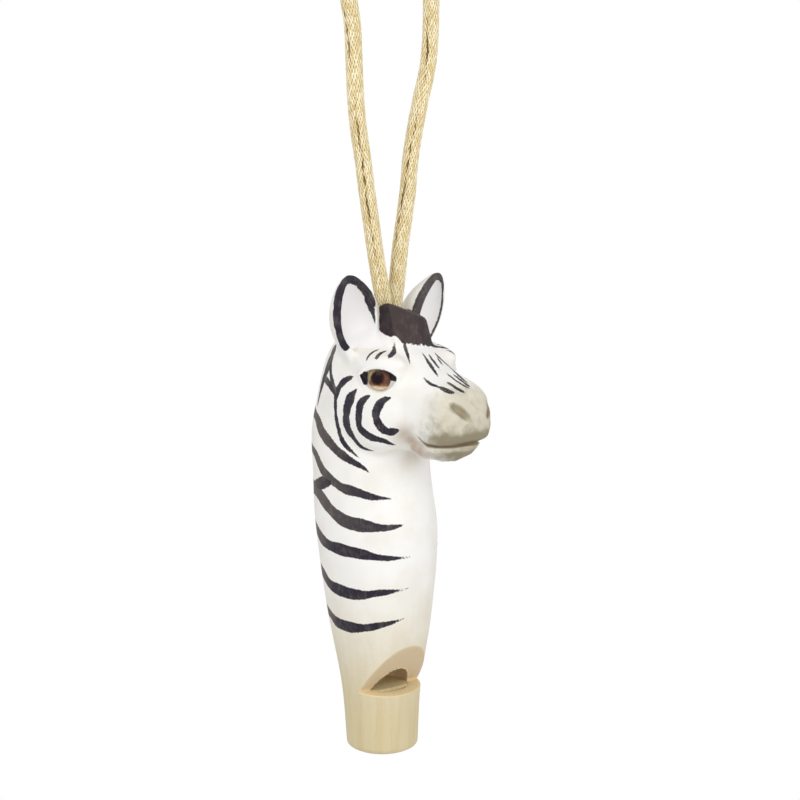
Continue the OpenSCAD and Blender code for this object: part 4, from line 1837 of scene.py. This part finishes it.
@dataclass(frozen=True)
class CarvedBody:
    """The painted carving, from its ears to its mouth end."""

    carving: Carving
    brushwork: Brushwork = Brushwork()
    ear_band: EarBand = EarBand()
    eye_corners: EyeCorners = EyeCorners()
    muzzle_shades: tuple[MuzzleShade, ...] = MUZZLE_SHADES
    finish: PaintedWood = PaintedWood()
    cell: float = 0.24
    margin: float = 1.4
    # The foot of the tuft's paint, its slope across, and its hem beyond the carved tuft, with
    # the changes to them on the animal's right, and where those begin and end
    lock_foot: float = 86.9
    lock_slope: float = 0.14
    lock_hem: float = 0.55
    lock_lift: float = 1.3
    lock_trim: float = 0.3
    lock_crisp: float = 1.5
    lock_side: Span = (-2.5, -4.6)
    # How worn the eyes' corners and the far ear's band are
    fresh: float = 0.4
    band_worn: float = 0.72
    # Painted shade in creases: how far off the skin a crease is looked for, and how near its other
    # side is
    crease_look: float = 1.1
    crease_wide: float = 0.9
    # The soft edges of the window's bared ledge and of the bore's wall, and the bore's end
    ledge_edge: Span = (0.9, 0.5)
    bore_edge: Span = (0.4, 0.2)
    bore_end: float = 0.5
    # The soft shadow behind the mouth: pixels of the photograph and weights
    mouth_shadow_pixels: Rows = (
        (405, 434, 0.9), (411, 440, 1.1), (414, 447, 1.2), (419, 451, 1.2), (410, 456, 0.5),
    )
    mouth_shadow_size: float = 2.2
    # The two ends of the muzzle's grey, in pixels, and the height below which there is none
    muzzle_pixels: Rows = ((462, 386), (428, 431))
    muzzle_foot: float = 61.0
    # Shares of the way between those ends past which the grey's edge stands upright
    muzzle_span: Span = (-0.3, 1.2)
    # Distances from a nostril at which its grey is none and all there, and how dark it is
    nostril_edge: Span = (1.1, -0.4)
    nostril_grey: float = 0.85
    # How much the chisel's cuts differ, about a middle tone
    chip_contrast: float = 0.28
    chip_middle: float = 0.45
    # The soft edge of the ears' pale cups, and their foot
    cup_edge: float = 0.25
    cup_foot: float = 1.5

    def build(self, datum: Datum, view: PhotoView) -> Piece:
        """Skin the carving and paint it.

        Args:
            datum: Where the whistle sits.
            view: The camera that saw the paint.

        Returns:
            The piece.
        """
        low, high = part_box("carved_body")
        corner, far = datum.from_row(low) - self.margin, datum.from_row(high) + self.margin
        points, quads = skin(self.carving, corner, far, self.cell)
        piece = add_mesh("carved_body_skin", datum.to_row(points), quads.tolist())
        self.paint(piece, points, view)
        self.dress(piece)
        return piece

    def paint(self, piece: Piece, points: Array, view: PhotoView) -> None:
        """Tag the skin with where each paint goes.

        Args:
            piece: The skin.
            points: Its points in millimetres.
            view: The camera that saw the paint.
        """
        carving = self.carving
        tag(piece, "height", points[:, 2])
        stripe, worn = to_strokes(points, self.brushwork.lay(carving, view))
        band = self.ear_band.distance(carving.ear, points)
        corners = self.eye_corners.distance(carving.eye_seat, points)
        worn = np.where(corners < stripe, self.fresh, worn)
        tag(piece, "worn", np.where(band < stripe, self.band_worn, worn))
        tag(piece, "stripe", np.minimum(stripe, np.minimum(band, corners)))
        # Painted shade in the mouth's groove, by its depth
        tag(piece, "lips", carving.mouth(points))
        near_side = smooth_step(*self.lock_side, points[:, 1])
        foot = self.lock_foot - self.lock_slope * points[:, 1] + self.lock_lift * near_side
        # Painted light and shade of the tuft's facets
        tag(piece, "lock_facet_light", carving.tuft.tone(points))
        lock = carving.tuft.distance(points) - self.lock_hem + self.lock_trim * near_side
        lock *= 1.0 + self.lock_crisp * near_side
        tag(piece, "lock", np.maximum(lock, foot - points[:, 2]))
        self.soft_paint(piece, points, view)
        # Painted shade where other surface is near, in creases and hollows
        open_air = carving.distance(points + self.crease_look * carving.normals(points))
        tag(piece, "crease", np.clip(1.0 - open_air / self.crease_wide, 0.0, 1.0))
        cuts = carving.bores
        bore = np.abs(np.hypot(points[:, 0], points[:, 1]) - cuts.bore_radius)
        bore = np.where(points[:, 2] < cuts.bore_depth + self.bore_end, bore, FAR)
        tag(piece, "cut", np.minimum(np.abs(cuts.ramp(points)), bore))
        ledge = np.abs(points[:, 2] - cuts.ledge)
        tag(piece, "shelf", smooth_step(*self.ledge_edge, ledge))
        tag(piece, "bore", smooth_step(*self.bore_edge, bore))

    def soft_paint(self, piece: Piece, points: Array, view: PhotoView) -> None:
        """Tag the soft-edged paint: muzzle with its painted shade, painted shadow behind the mouth,
        and ear cups.

        Args:
            piece: The skin.
            points: Its points in millimetres.
            view: The camera that saw the paint.
        """
        pixels = np.array([spot[:2] for spot in self.mouth_shadow_pixels + self.muzzle_pixels])
        spots = view.touch(self.carving, pixels)
        # The painted shadow behind the mouth
        painted_mouth_shadow, folded = np.zeros(len(points)), fold(points, -1.0)
        for spot, (_, _, weight) in zip(spots, self.mouth_shadow_pixels):
            away = (((folded - spot) / self.mouth_shadow_size) ** 2).sum(axis=1)
            painted_mouth_shadow = np.maximum(painted_mouth_shadow, weight * np.exp(-away))
        tag(piece, "painted_mouth_shadow", painted_mouth_shadow)
        top, corner = spots[len(self.mouth_shadow_pixels) :]
        x, z = points[:, 0], points[:, 2]
        share = (z - corner[2]) / (top[2] - corner[2])
        edge = corner[0] + np.clip(share, *self.muzzle_span) * (top[0] - corner[0])
        tag(piece, "muzzle", np.where(z > self.muzzle_foot, x - edge, -DEEP))
        nostril = smooth_step(*self.nostril_edge, self.carving.nostril.distance(points))
        # Painted shade on the muzzle, with a painted highlight on the lip's edge
        low = sum(grey.tone(points) for grey in self.muzzle_shades)
        chips = self.chip_contrast * (self.carving.head.snout.tone(points) - self.chip_middle)
        tag(piece, "snout_tone", np.maximum(self.nostril_grey * nostril, low) + chips)
        q = self.carving.ear.local(points)
        inside = smooth_step(self.cup_edge, 0.0, self.carving.ear.hollow(q))
        tag(piece, "cup", inside * (q[:, 2] > self.cup_foot))

    def dress(self, piece: Piece) -> None:
        """Give the skin its finish and its place in the frame.

        Args:
            piece: The skin.
        """
        piece.data.materials.append(self.finish.make())
        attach(piece, BODY)
        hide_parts("carved_body")


@dataclass(frozen=True)
class GlassEye:
    """A domed glass eye on its shank."""

    side: Side
    rim: Spot
    yaw: float = 22.0
    radius: float = 2.5
    dome: float = 1.4
    shank_radius: float = 1.6
    shank: float = 2.4
    around: int = 64
    across: int = 20
    # The rolled edge: how far down it starts, its step in and that step's level, and its foot
    edge_top: float = 0.15
    edge_in: float = 0.12
    edge_level: float = 0.3
    edge_foot: float = 0.4
    # What is left flat at the crown, in radians, and at the shank's foot, in millimetres
    crown_flat: float = 0.02
    foot_flat: float = 0.05
    # The pupil's middle forward and up, and the slope up and back of the olive painted reflection,
    # in radii
    pupil: Span = (0.05, 0.08)
    olive_reflection: Span = (0.6, 0.7)
    finish: EyeGlass = EyeGlass()

    def profile(self) -> list[tuple[float, float]]:
        """Radius and rise from the dome's crown to the shank's foot.

        Returns:
            A radius and a rise for each ring of points.
        """
        ball = (self.radius**2 + self.dome**2) / (2.0 * self.dome)
        steps = np.linspace(self.crown_flat, math.asin(self.radius / ball), self.across)
        dome = [(ball * math.sin(a), self.dome - ball + ball * math.cos(a)) for a in steps]
        edge = [(self.radius, -self.edge_top), (self.radius - self.edge_in, -self.edge_level)]
        shank = [(self.shank_radius, -self.edge_foot), (self.shank_radius, -self.shank)]
        return dome + edge + shank + [(self.foot_flat, -self.shank)]

    def build(self, datum: Datum) -> Piece:
        """Turn the profile round the eye's axis.

        Args:
            datum: Where the whistle sits.

        Returns:
            The piece.
        """
        a = math.radians(self.yaw)
        out = np.array([math.sin(a), self.side.value * math.cos(a), 0.0])
        up = np.array([0.0, 0.0, 1.0])
        forward = np.array([math.cos(a), -self.side.value * math.sin(a), 0.0])
        rim = np.array(self.rim) * np.array([1.0, self.side.value, 1.0])
        radius, rise = np.repeat(np.array(self.profile()), self.around, axis=0).T
        t = np.tile(2.0 * math.pi * np.arange(self.around) / self.around, len(rise) // self.around)
        u, v = radius * np.cos(t), radius * np.sin(t)
        points = rim + u[:, None] * forward + v[:, None] * up + rise[:, None] * out
        spot = np.arange(len(points)).reshape(-1, self.around)
        beside = np.roll(spot, -1, axis=1)
        quads = np.stack([spot[:-1], spot[1:], beside[1:], beside[:-1]], axis=-1).reshape(-1, 4)
        faces = quads.tolist() + [spot[0].tolist(), spot[-1][::-1].tolist()]
        if self.side is Side.LEFT:
            faces = [face[::-1] for face in faces]
        piece = add_mesh(f"glass_eye_{self.side.name.lower()}", datum.to_row(points), faces)
        u, v = u / self.radius, v / self.radius
        tag(piece, "from_pupil", np.hypot(u - self.pupil[0], v - self.pupil[1]))
        tag(piece, "below", -v)
        # Where the painted reflection lies, up and back on the dome
        tag(piece, "rear", self.olive_reflection[0] * v - self.olive_reflection[1] * u)
        self.dress(piece)
        return piece

    def dress(self, piece: Piece) -> None:
        """Give the eye its finish and its place in the frame.

        Args:
            piece: The turned eye.
        """
        piece.data.materials.append(self.finish.make())
        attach(piece, BODY)
        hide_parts(f"eye_{self.side.name.lower()}")


@dataclass(frozen=True)
class NeckCord:
    """The braided neck cord: up out of its hole, round the peg and back.

    Heights are in millimetres below the bight's underside, which is the row frame's origin.
    """

    diameter: float = 3.3
    strand_in: float = 1.85
    strand_out: float = 12.55
    strand_fore: float = 0.42
    poll: float = -80.75
    rise: float = 70.0
    yarns: int = 18
    pitch: float = 28.0
    relief: float = 0.3
    around: int = 160
    spacing: float = 0.2
    finish: SatinBraid = SatinBraid()
    # Millimetres below the poll that the ends reach into the hole
    ends: Span = (12.0, 6.0)
    bight_steps: int = 14
    crease_depth: float = 0.4
    crease_wide: float = 0.13
    # How much painted shade the crease gets
    crease_dark: float = 0.7
    # A yarn's own rise and how round it is, its rise over another, and the cord's mean height
    yarn_rise: float = 0.7
    yarn_round: float = 0.95
    yarn_over: float = 0.4
    yarn_mean: float = 0.75
    yarn_contrast: float = 0.7
    # Every so many points of the route are listed, in metres
    told: int = 8
    # Share of the rise, and share of the spread, on the animal's right and left
    right_rows: Rows = (
        (0, 0), (0.05, 0.005), (0.09, 0.05), (0.13, 0.115), (0.22, 0.24), (0.3, 0.34),
        (0.39, 0.45), (0.48, 0.55), (0.56, 0.655), (0.65, 0.73), (0.76, 0.77), (0.86, 0.81),
        (0.93, 0.91), (0.98, 0.99), (1, 1),
    )
    left_rows: Rows = (
        (0, 0), (0.05, 0.005), (0.09, 0.04), (0.13, 0.085), (0.22, 0.165), (0.31, 0.28),
        (0.39, 0.375), (0.48, 0.445), (0.56, 0.56), (0.65, 0.72), (0.71, 0.85), (0.76, 0.93),
        (0.82, 0.98), (0.9, 1), (1, 1),
    )

    def strand(self, rows: Rows, side: Side) -> list[Spot]:
        """The route of one strand, upward from the floor of its hole.

        Args:
            rows: Shares of the rise and of the spread.
            side: The side of the animal that it is on.

        Returns:
            Points in millimetres of the row frame.
        """
        x, y = -side.value * self.strand_fore, side.value * self.strand_in
        spread = side.value * (self.strand_out - self.strand_in)
        foot = [(x, y, self.poll - down) for down in self.ends]
        return foot + [(x, y + spread * out, self.poll + self.rise * up) for up, out in rows]

    def route(self) -> Array:
        """The whole route in millimetres of the row frame.

        Returns:
            Points evenly spaced along it.
        """
        top = self.poll + self.rise
        turns = [math.pi * k / self.bight_steps for k in range(1, self.bight_steps)]
        fore, out = self.strand_fore, self.strand_out
        bight = [(fore * math.cos(a), -out * math.cos(a), top + out * math.sin(a)) for a in turns]
        up = self.strand(self.right_rows, Side.RIGHT)
        down = self.strand(self.left_rows, Side.LEFT)
        return along(np.array(up + bight + down[::-1]), self.spacing)

    def braid(self, angle: Array, reach: Array) -> tuple[Array, Array]:
        """Weave the yarns.

        Args:
            angle: Angle round the cord.
            reach: Millimetres along the cord.

        Returns:
            Height from 0 in a gap to 1 on a crossing's crown, and each crossing's tone about 0.
        """
        slack = 0.05 * np.sin(reach / 2.7 + 3.0 * angle) + 0.04 * np.sin(reach / 1.3 - 5.0 * angle)
        lay = 2.0 * math.pi * reach / self.pitch + slack
        a = self.yarns * (angle + lay) / (2.0 * math.pi)
        b = self.yarns * (angle - lay) / (2.0 * math.pi)
        ua, ub = 2.0 * (a % 1.0) - 1.0, 2.0 * (b % 1.0) - 1.0
        over = np.where((np.floor(a) + np.floor(b)) % 2 == 0, 1.0, -1.0)
        rise_a, rise_b = (self.yarn_rise * np.sqrt(1.0 - self.yarn_round * u**2) for u in (ua, ub))
        first = rise_a + self.yarn_over * over * np.cos(0.5 * math.pi * ub)
        second = rise_b - self.yarn_over * over * np.cos(0.5 * math.pi * ua)
        upper = first > second
        one, two = np.floor(np.where(upper, a, -b)), np.floor(np.where(upper, b, a))
        # The usual scattering of whole numbers to shares of 1
        tone = np.sin(one * 12.9898 + two * 4.1414) * 43758.5453
        height = np.clip(np.maximum(first, second) / (self.yarn_rise + self.yarn_over), 0.0, 1.0)
        return height, self.yarn_contrast * (tone - np.floor(tone) - 0.5)

    def crease(self, angle: Array, reach: Array) -> Array:
        """Depth of the long crease in which the hollow braid falls in.

        Args:
            angle: Angle round the cord.
            reach: Millimetres along the cord.

        Returns:
            Depth from 0 to 1.
        """
        middle = -1.2 + 0.5 * np.sin(reach / 19.0) + 0.2 * np.sin(reach / 7.3)
        middle += 0.05 * np.sin(reach / 0.9)
        back_down = reach > reach.max() / 2.0
        away = np.angle(np.exp(1j * (angle - np.where(back_down, 0.3 - middle, middle))))
        depth = 0.5 + 0.5 * np.sin(reach / 5.1 + 1.3 * np.sin(reach / 11.0))
        depth *= 0.6 + 0.4 * np.sin(reach / 0.8 + 2.0 * np.sin(reach / 2.3))
        return depth * np.exp(-((away / self.crease_wide) ** 2))

    def build(self) -> Piece:
        """Sweep the braid along the route.

        Returns:
            The piece.
        """
        path = self.route()
        tangent = np.gradient(path, axis=0)
        tangent /= np.linalg.norm(tangent, axis=1)[:, None]
        side = np.array([1.0, 0.0, 0.0])
        across = np.cross(tangent, side)
        reach = np.concatenate([[0.0], np.cumsum(np.linalg.norm(np.diff(path, axis=0), axis=1))])
        angle = 2.0 * math.pi * np.arange(self.around) / self.around
        grid_a, grid_r = np.meshgrid(angle, reach)
        crown, tone = self.braid(grid_a, grid_r)
        crease = self.crease(grid_a, grid_r)
        radius = self.diameter / 2.0 + self.relief * (crown - self.yarn_mean)
        radius -= self.crease_depth * crease
        ring = np.cos(grid_a)[..., None] * side + np.sin(grid_a)[..., None] * across[:, None]
        points = (path[:, None] + radius[..., None] * ring).reshape(-1, 3)
        spot = np.arange(len(points)).reshape(-1, self.around)
        beside = np.roll(spot, -1, axis=1)
        quads = np.stack([spot[:-1], beside[:-1], beside[1:], spot[1:]], axis=-1).reshape(-1, 4)
        faces = quads.tolist() + [spot[0][::-1].tolist(), spot[-1].tolist()]
        piece = add_mesh("neck_cord_braid", points * MM, faces)
        # The yarns' height, lowered in the crease, which the finish paints as highlight and shade
        tag(piece, "crown", (crown - self.crease_dark * crease).ravel())
        tag(piece, "yarn_tone", tone.ravel())
        self.dress(piece, path, reach[-1])
        return piece

    def dress(self, piece: Piece, path: Array, length: float) -> None:
        """Give the cord its finish and its place in the frame.

        Args:
            piece: The swept braid.
            path: Its route in millimetres.
            length: The route's length in millimetres; not used.
        """
        piece.data.materials.append(self.finish.make())
        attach(piece, BODY)
        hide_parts("neck_cord")
        [tuple(p) for p in path[:: self.told] * MM]


@dataclass(frozen=True)
class FipplePlug:
    """The plug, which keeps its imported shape."""

    finish: PlugWood = PlugWood()

    def dress(self) -> Piece:
        """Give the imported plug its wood.

        Returns:
            The piece.
        """
        piece = bpy.data.objects["fipple_plug"]
        piece.data.materials.clear()
        piece.data.materials.append(self.finish.make())
        return piece


@dataclass(frozen=True)
class Studio:
    """Floor, lamps and white surroundings."""

    drop: float = 62.0
    floor_half: float = 3000.0
    floor_tone: Colour = (0.86, 0.86, 0.85)
    floor_fleck: Colour = (0.9, 0.9, 0.89)
    # Share of white that the camera sees under the whistle, and how far out it is all white
    shadow_white: float = 0.84
    shadow_reach: float = 160.0
    sky: float = 0.58
    # Height on the whistle that the lamps face, and each lamp's place to the camera's right, up
    # and back from there, side in millimetres and power in watts
    lamp_level: float = 60.0
    key_place: Spot = (-320.0, 430.0, 580.0)
    key_side: float = 520.0
    key_power: float = 2.05
    fill_place: Spot = (460.0, 160.0, 560.0)
    fill_side: float = 600.0
    fill_power: float = 1.75

    def build(self, datum: Datum, view: PhotoView) -> None:
        """Set the stage.

        Args:
            datum: Where the whistle sits.
            view: The photograph's camera, which the lamps stand round.
        """
        bpy.context.scene.view_settings.view_transform = "Standard"
        self.floor(datum)
        self.world()
        key, fill = np.array([self.key_place, self.fill_place]) @ np.array(view.axes())
        self.lamp(datum, "key_lamp", key, self.key_side, self.key_power)
        self.lamp(datum, "fill_lamp", fill, self.fill_side, self.fill_power)

    def floor(self, datum: Datum) -> None:
        """A pale floor under the hanging whistle, which keeps its shadow.

        Args:
            datum: Where the whistle sits.
        """
        half, low = self.floor_half, -self.drop
        corners = [(-half, -half, low), (half, -half, low), (half, half, low), (-half, half, low)]
        piece = add_mesh("floor", datum.to_row(corners), [[0, 1, 2, 3]])
        g = Graph("floor_finish")
        grain = g.noise(g.place(), 30.0, 3.0)
        g.set(Base_Color=g.shade(grain, self.floor_tone, self.floor_fleck), Roughness=0.9)
        glow = g.tree.nodes.new("ShaderNodeEmission")
        blend = g.tree.nodes.new("ShaderNodeMixShader")
        far = g.tree.nodes.new("ShaderNodeVectorMath")
        far.operation = "LENGTH"
        g.put(far.inputs[0], g.place((1.0, 1.0, 0.0)))
        white = g.step(far.outputs["Value"], 0.0, self.shadow_reach * MM)
        white = g.add(self.shadow_white, g.scale(white, 1.0 - self.shadow_white))
        g.put(blend.inputs[0], g.scale(self.seen(g.tree), white))
        g.put(blend.inputs[1], g.shader.outputs[0])
        g.put(blend.inputs[2], glow.outputs[0])
        g.put(g.output.inputs["Surface"], blend.outputs[0])
        piece.data.materials.append(g.material)

    @staticmethod
    def seen(tree: bpy.types.NodeTree) -> Socket:
        """1 for a ray from the camera, or one off gloss or through glass.

        Args:
            tree: The node tree to ask in.

        Returns:
            1 or 0.
        """
        light = tree.nodes.new("ShaderNodeLightPath")
        either = light.outputs["Is Camera Ray"]
        for name in ("Is Glossy Ray", "Is Transmission Ray"):
            node = tree.nodes.new("ShaderNodeMath")
            node.operation = "MAXIMUM"
            tree.links.new(either, node.inputs[0])
            tree.links.new(light.outputs[name], node.inputs[1])
            either = node.outputs[0]
        return either

    def world(self) -> None:
        """White to look at, softer as light."""
        world = bpy.data.worlds.new("studio")
        world.use_nodes = True
        tree = world.node_tree
        tree.nodes.clear()
        soft, white = tree.nodes.new("ShaderNodeBackground"), tree.nodes.new("ShaderNodeBackground")
        soft.inputs["Strength"].default_value = self.sky
        white.inputs["Strength"].default_value = 1.0
        for node in (soft, white):
            node.inputs["Color"].default_value = (1.0, 1.0, 1.0, 1.0)
        blend = tree.nodes.new("ShaderNodeMixShader")
        output = tree.nodes.new("ShaderNodeOutputWorld")
        tree.links.new(self.seen(tree), blend.inputs[0])
        tree.links.new(soft.outputs[0], blend.inputs[1])
        tree.links.new(white.outputs[0], blend.inputs[2])
        tree.links.new(blend.outputs[0], output.inputs["Surface"])
        bpy.context.scene.world = world

    def lamp(self, datum: Datum, name: str, away: Array, side: float, power: float) -> None:
        """Hang a soft square lamp that faces the whistle.

        Args:
            datum: Where the whistle sits.
            name: Name of the lamp.
            away: Its place from what it faces, in millimetres.
            side: Its side in millimetres.
            power: Its power in watts.
        """
        data = bpy.data.lights.new(name, "AREA")
        data.size = side * MM
        data.energy = power
        lamp = bpy.data.objects.new(name, data)
        lamp.location = datum.to_row(np.array([0.0, 0.0, self.lamp_level]) + away)
        lamp.rotation_mode = "QUATERNION"
        lamp.rotation_quaternion = Vector(-away).to_track_quat("-Z", "Y")
        bpy.context.scene.collection.objects.link(lamp)


def eye_rim(datum: Datum, yaw: float) -> tuple[Spot, float]:
    """Middle of the left eye's rim on the whistle, and the eye's radius, from its packed box.

    Args:
        datum: Where the whistle sits.
        yaw: Degrees by which the eye looks forward.

    Returns:
        The rim's middle, and the radius.
    """
    low, high = datum.from_row(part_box("eye_left")[0]), datum.from_row(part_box("eye_left")[1])
    radius = (high[2] - low[2]) / 2.0
    dome = GlassEye.dome
    ball = (radius**2 + dome**2) / (2.0 * dome)
    x = high[0] - radius * math.cos(math.radians(yaw))
    y = high[1] - ball + (ball - dome) * math.cos(math.radians(yaw))
    return (float(x), float(y), float((low[2] + high[2]) / 2.0)), float(radius)


def main() -> None:
    """Build the pieces in order."""
    logging.basicConfig(level=logging.INFO, format="%(name)s: %(message)s")
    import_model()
    datum, view = Datum.from_frame(), PhotoView()
    view.place(datum)
    pieces = [NeckCord().build()]
    rim, radius = eye_rim(datum, GlassEye.yaw)
    pieces.append(CarvedBody(Carving(EyeSeat.round_rim(rim))).build(datum, view))
    pieces += [GlassEye(side, rim, radius=radius).build(datum) for side in Side]
    pieces.append(FipplePlug().dress())
    Studio().build(datum, view)
    for piece in pieces:
        mesh = piece.data
        log.info("%s: %d points, %d faces", piece.name, len(mesh.vertices), len(mesh.polygons))


if __name__ == "__main__":
    main()
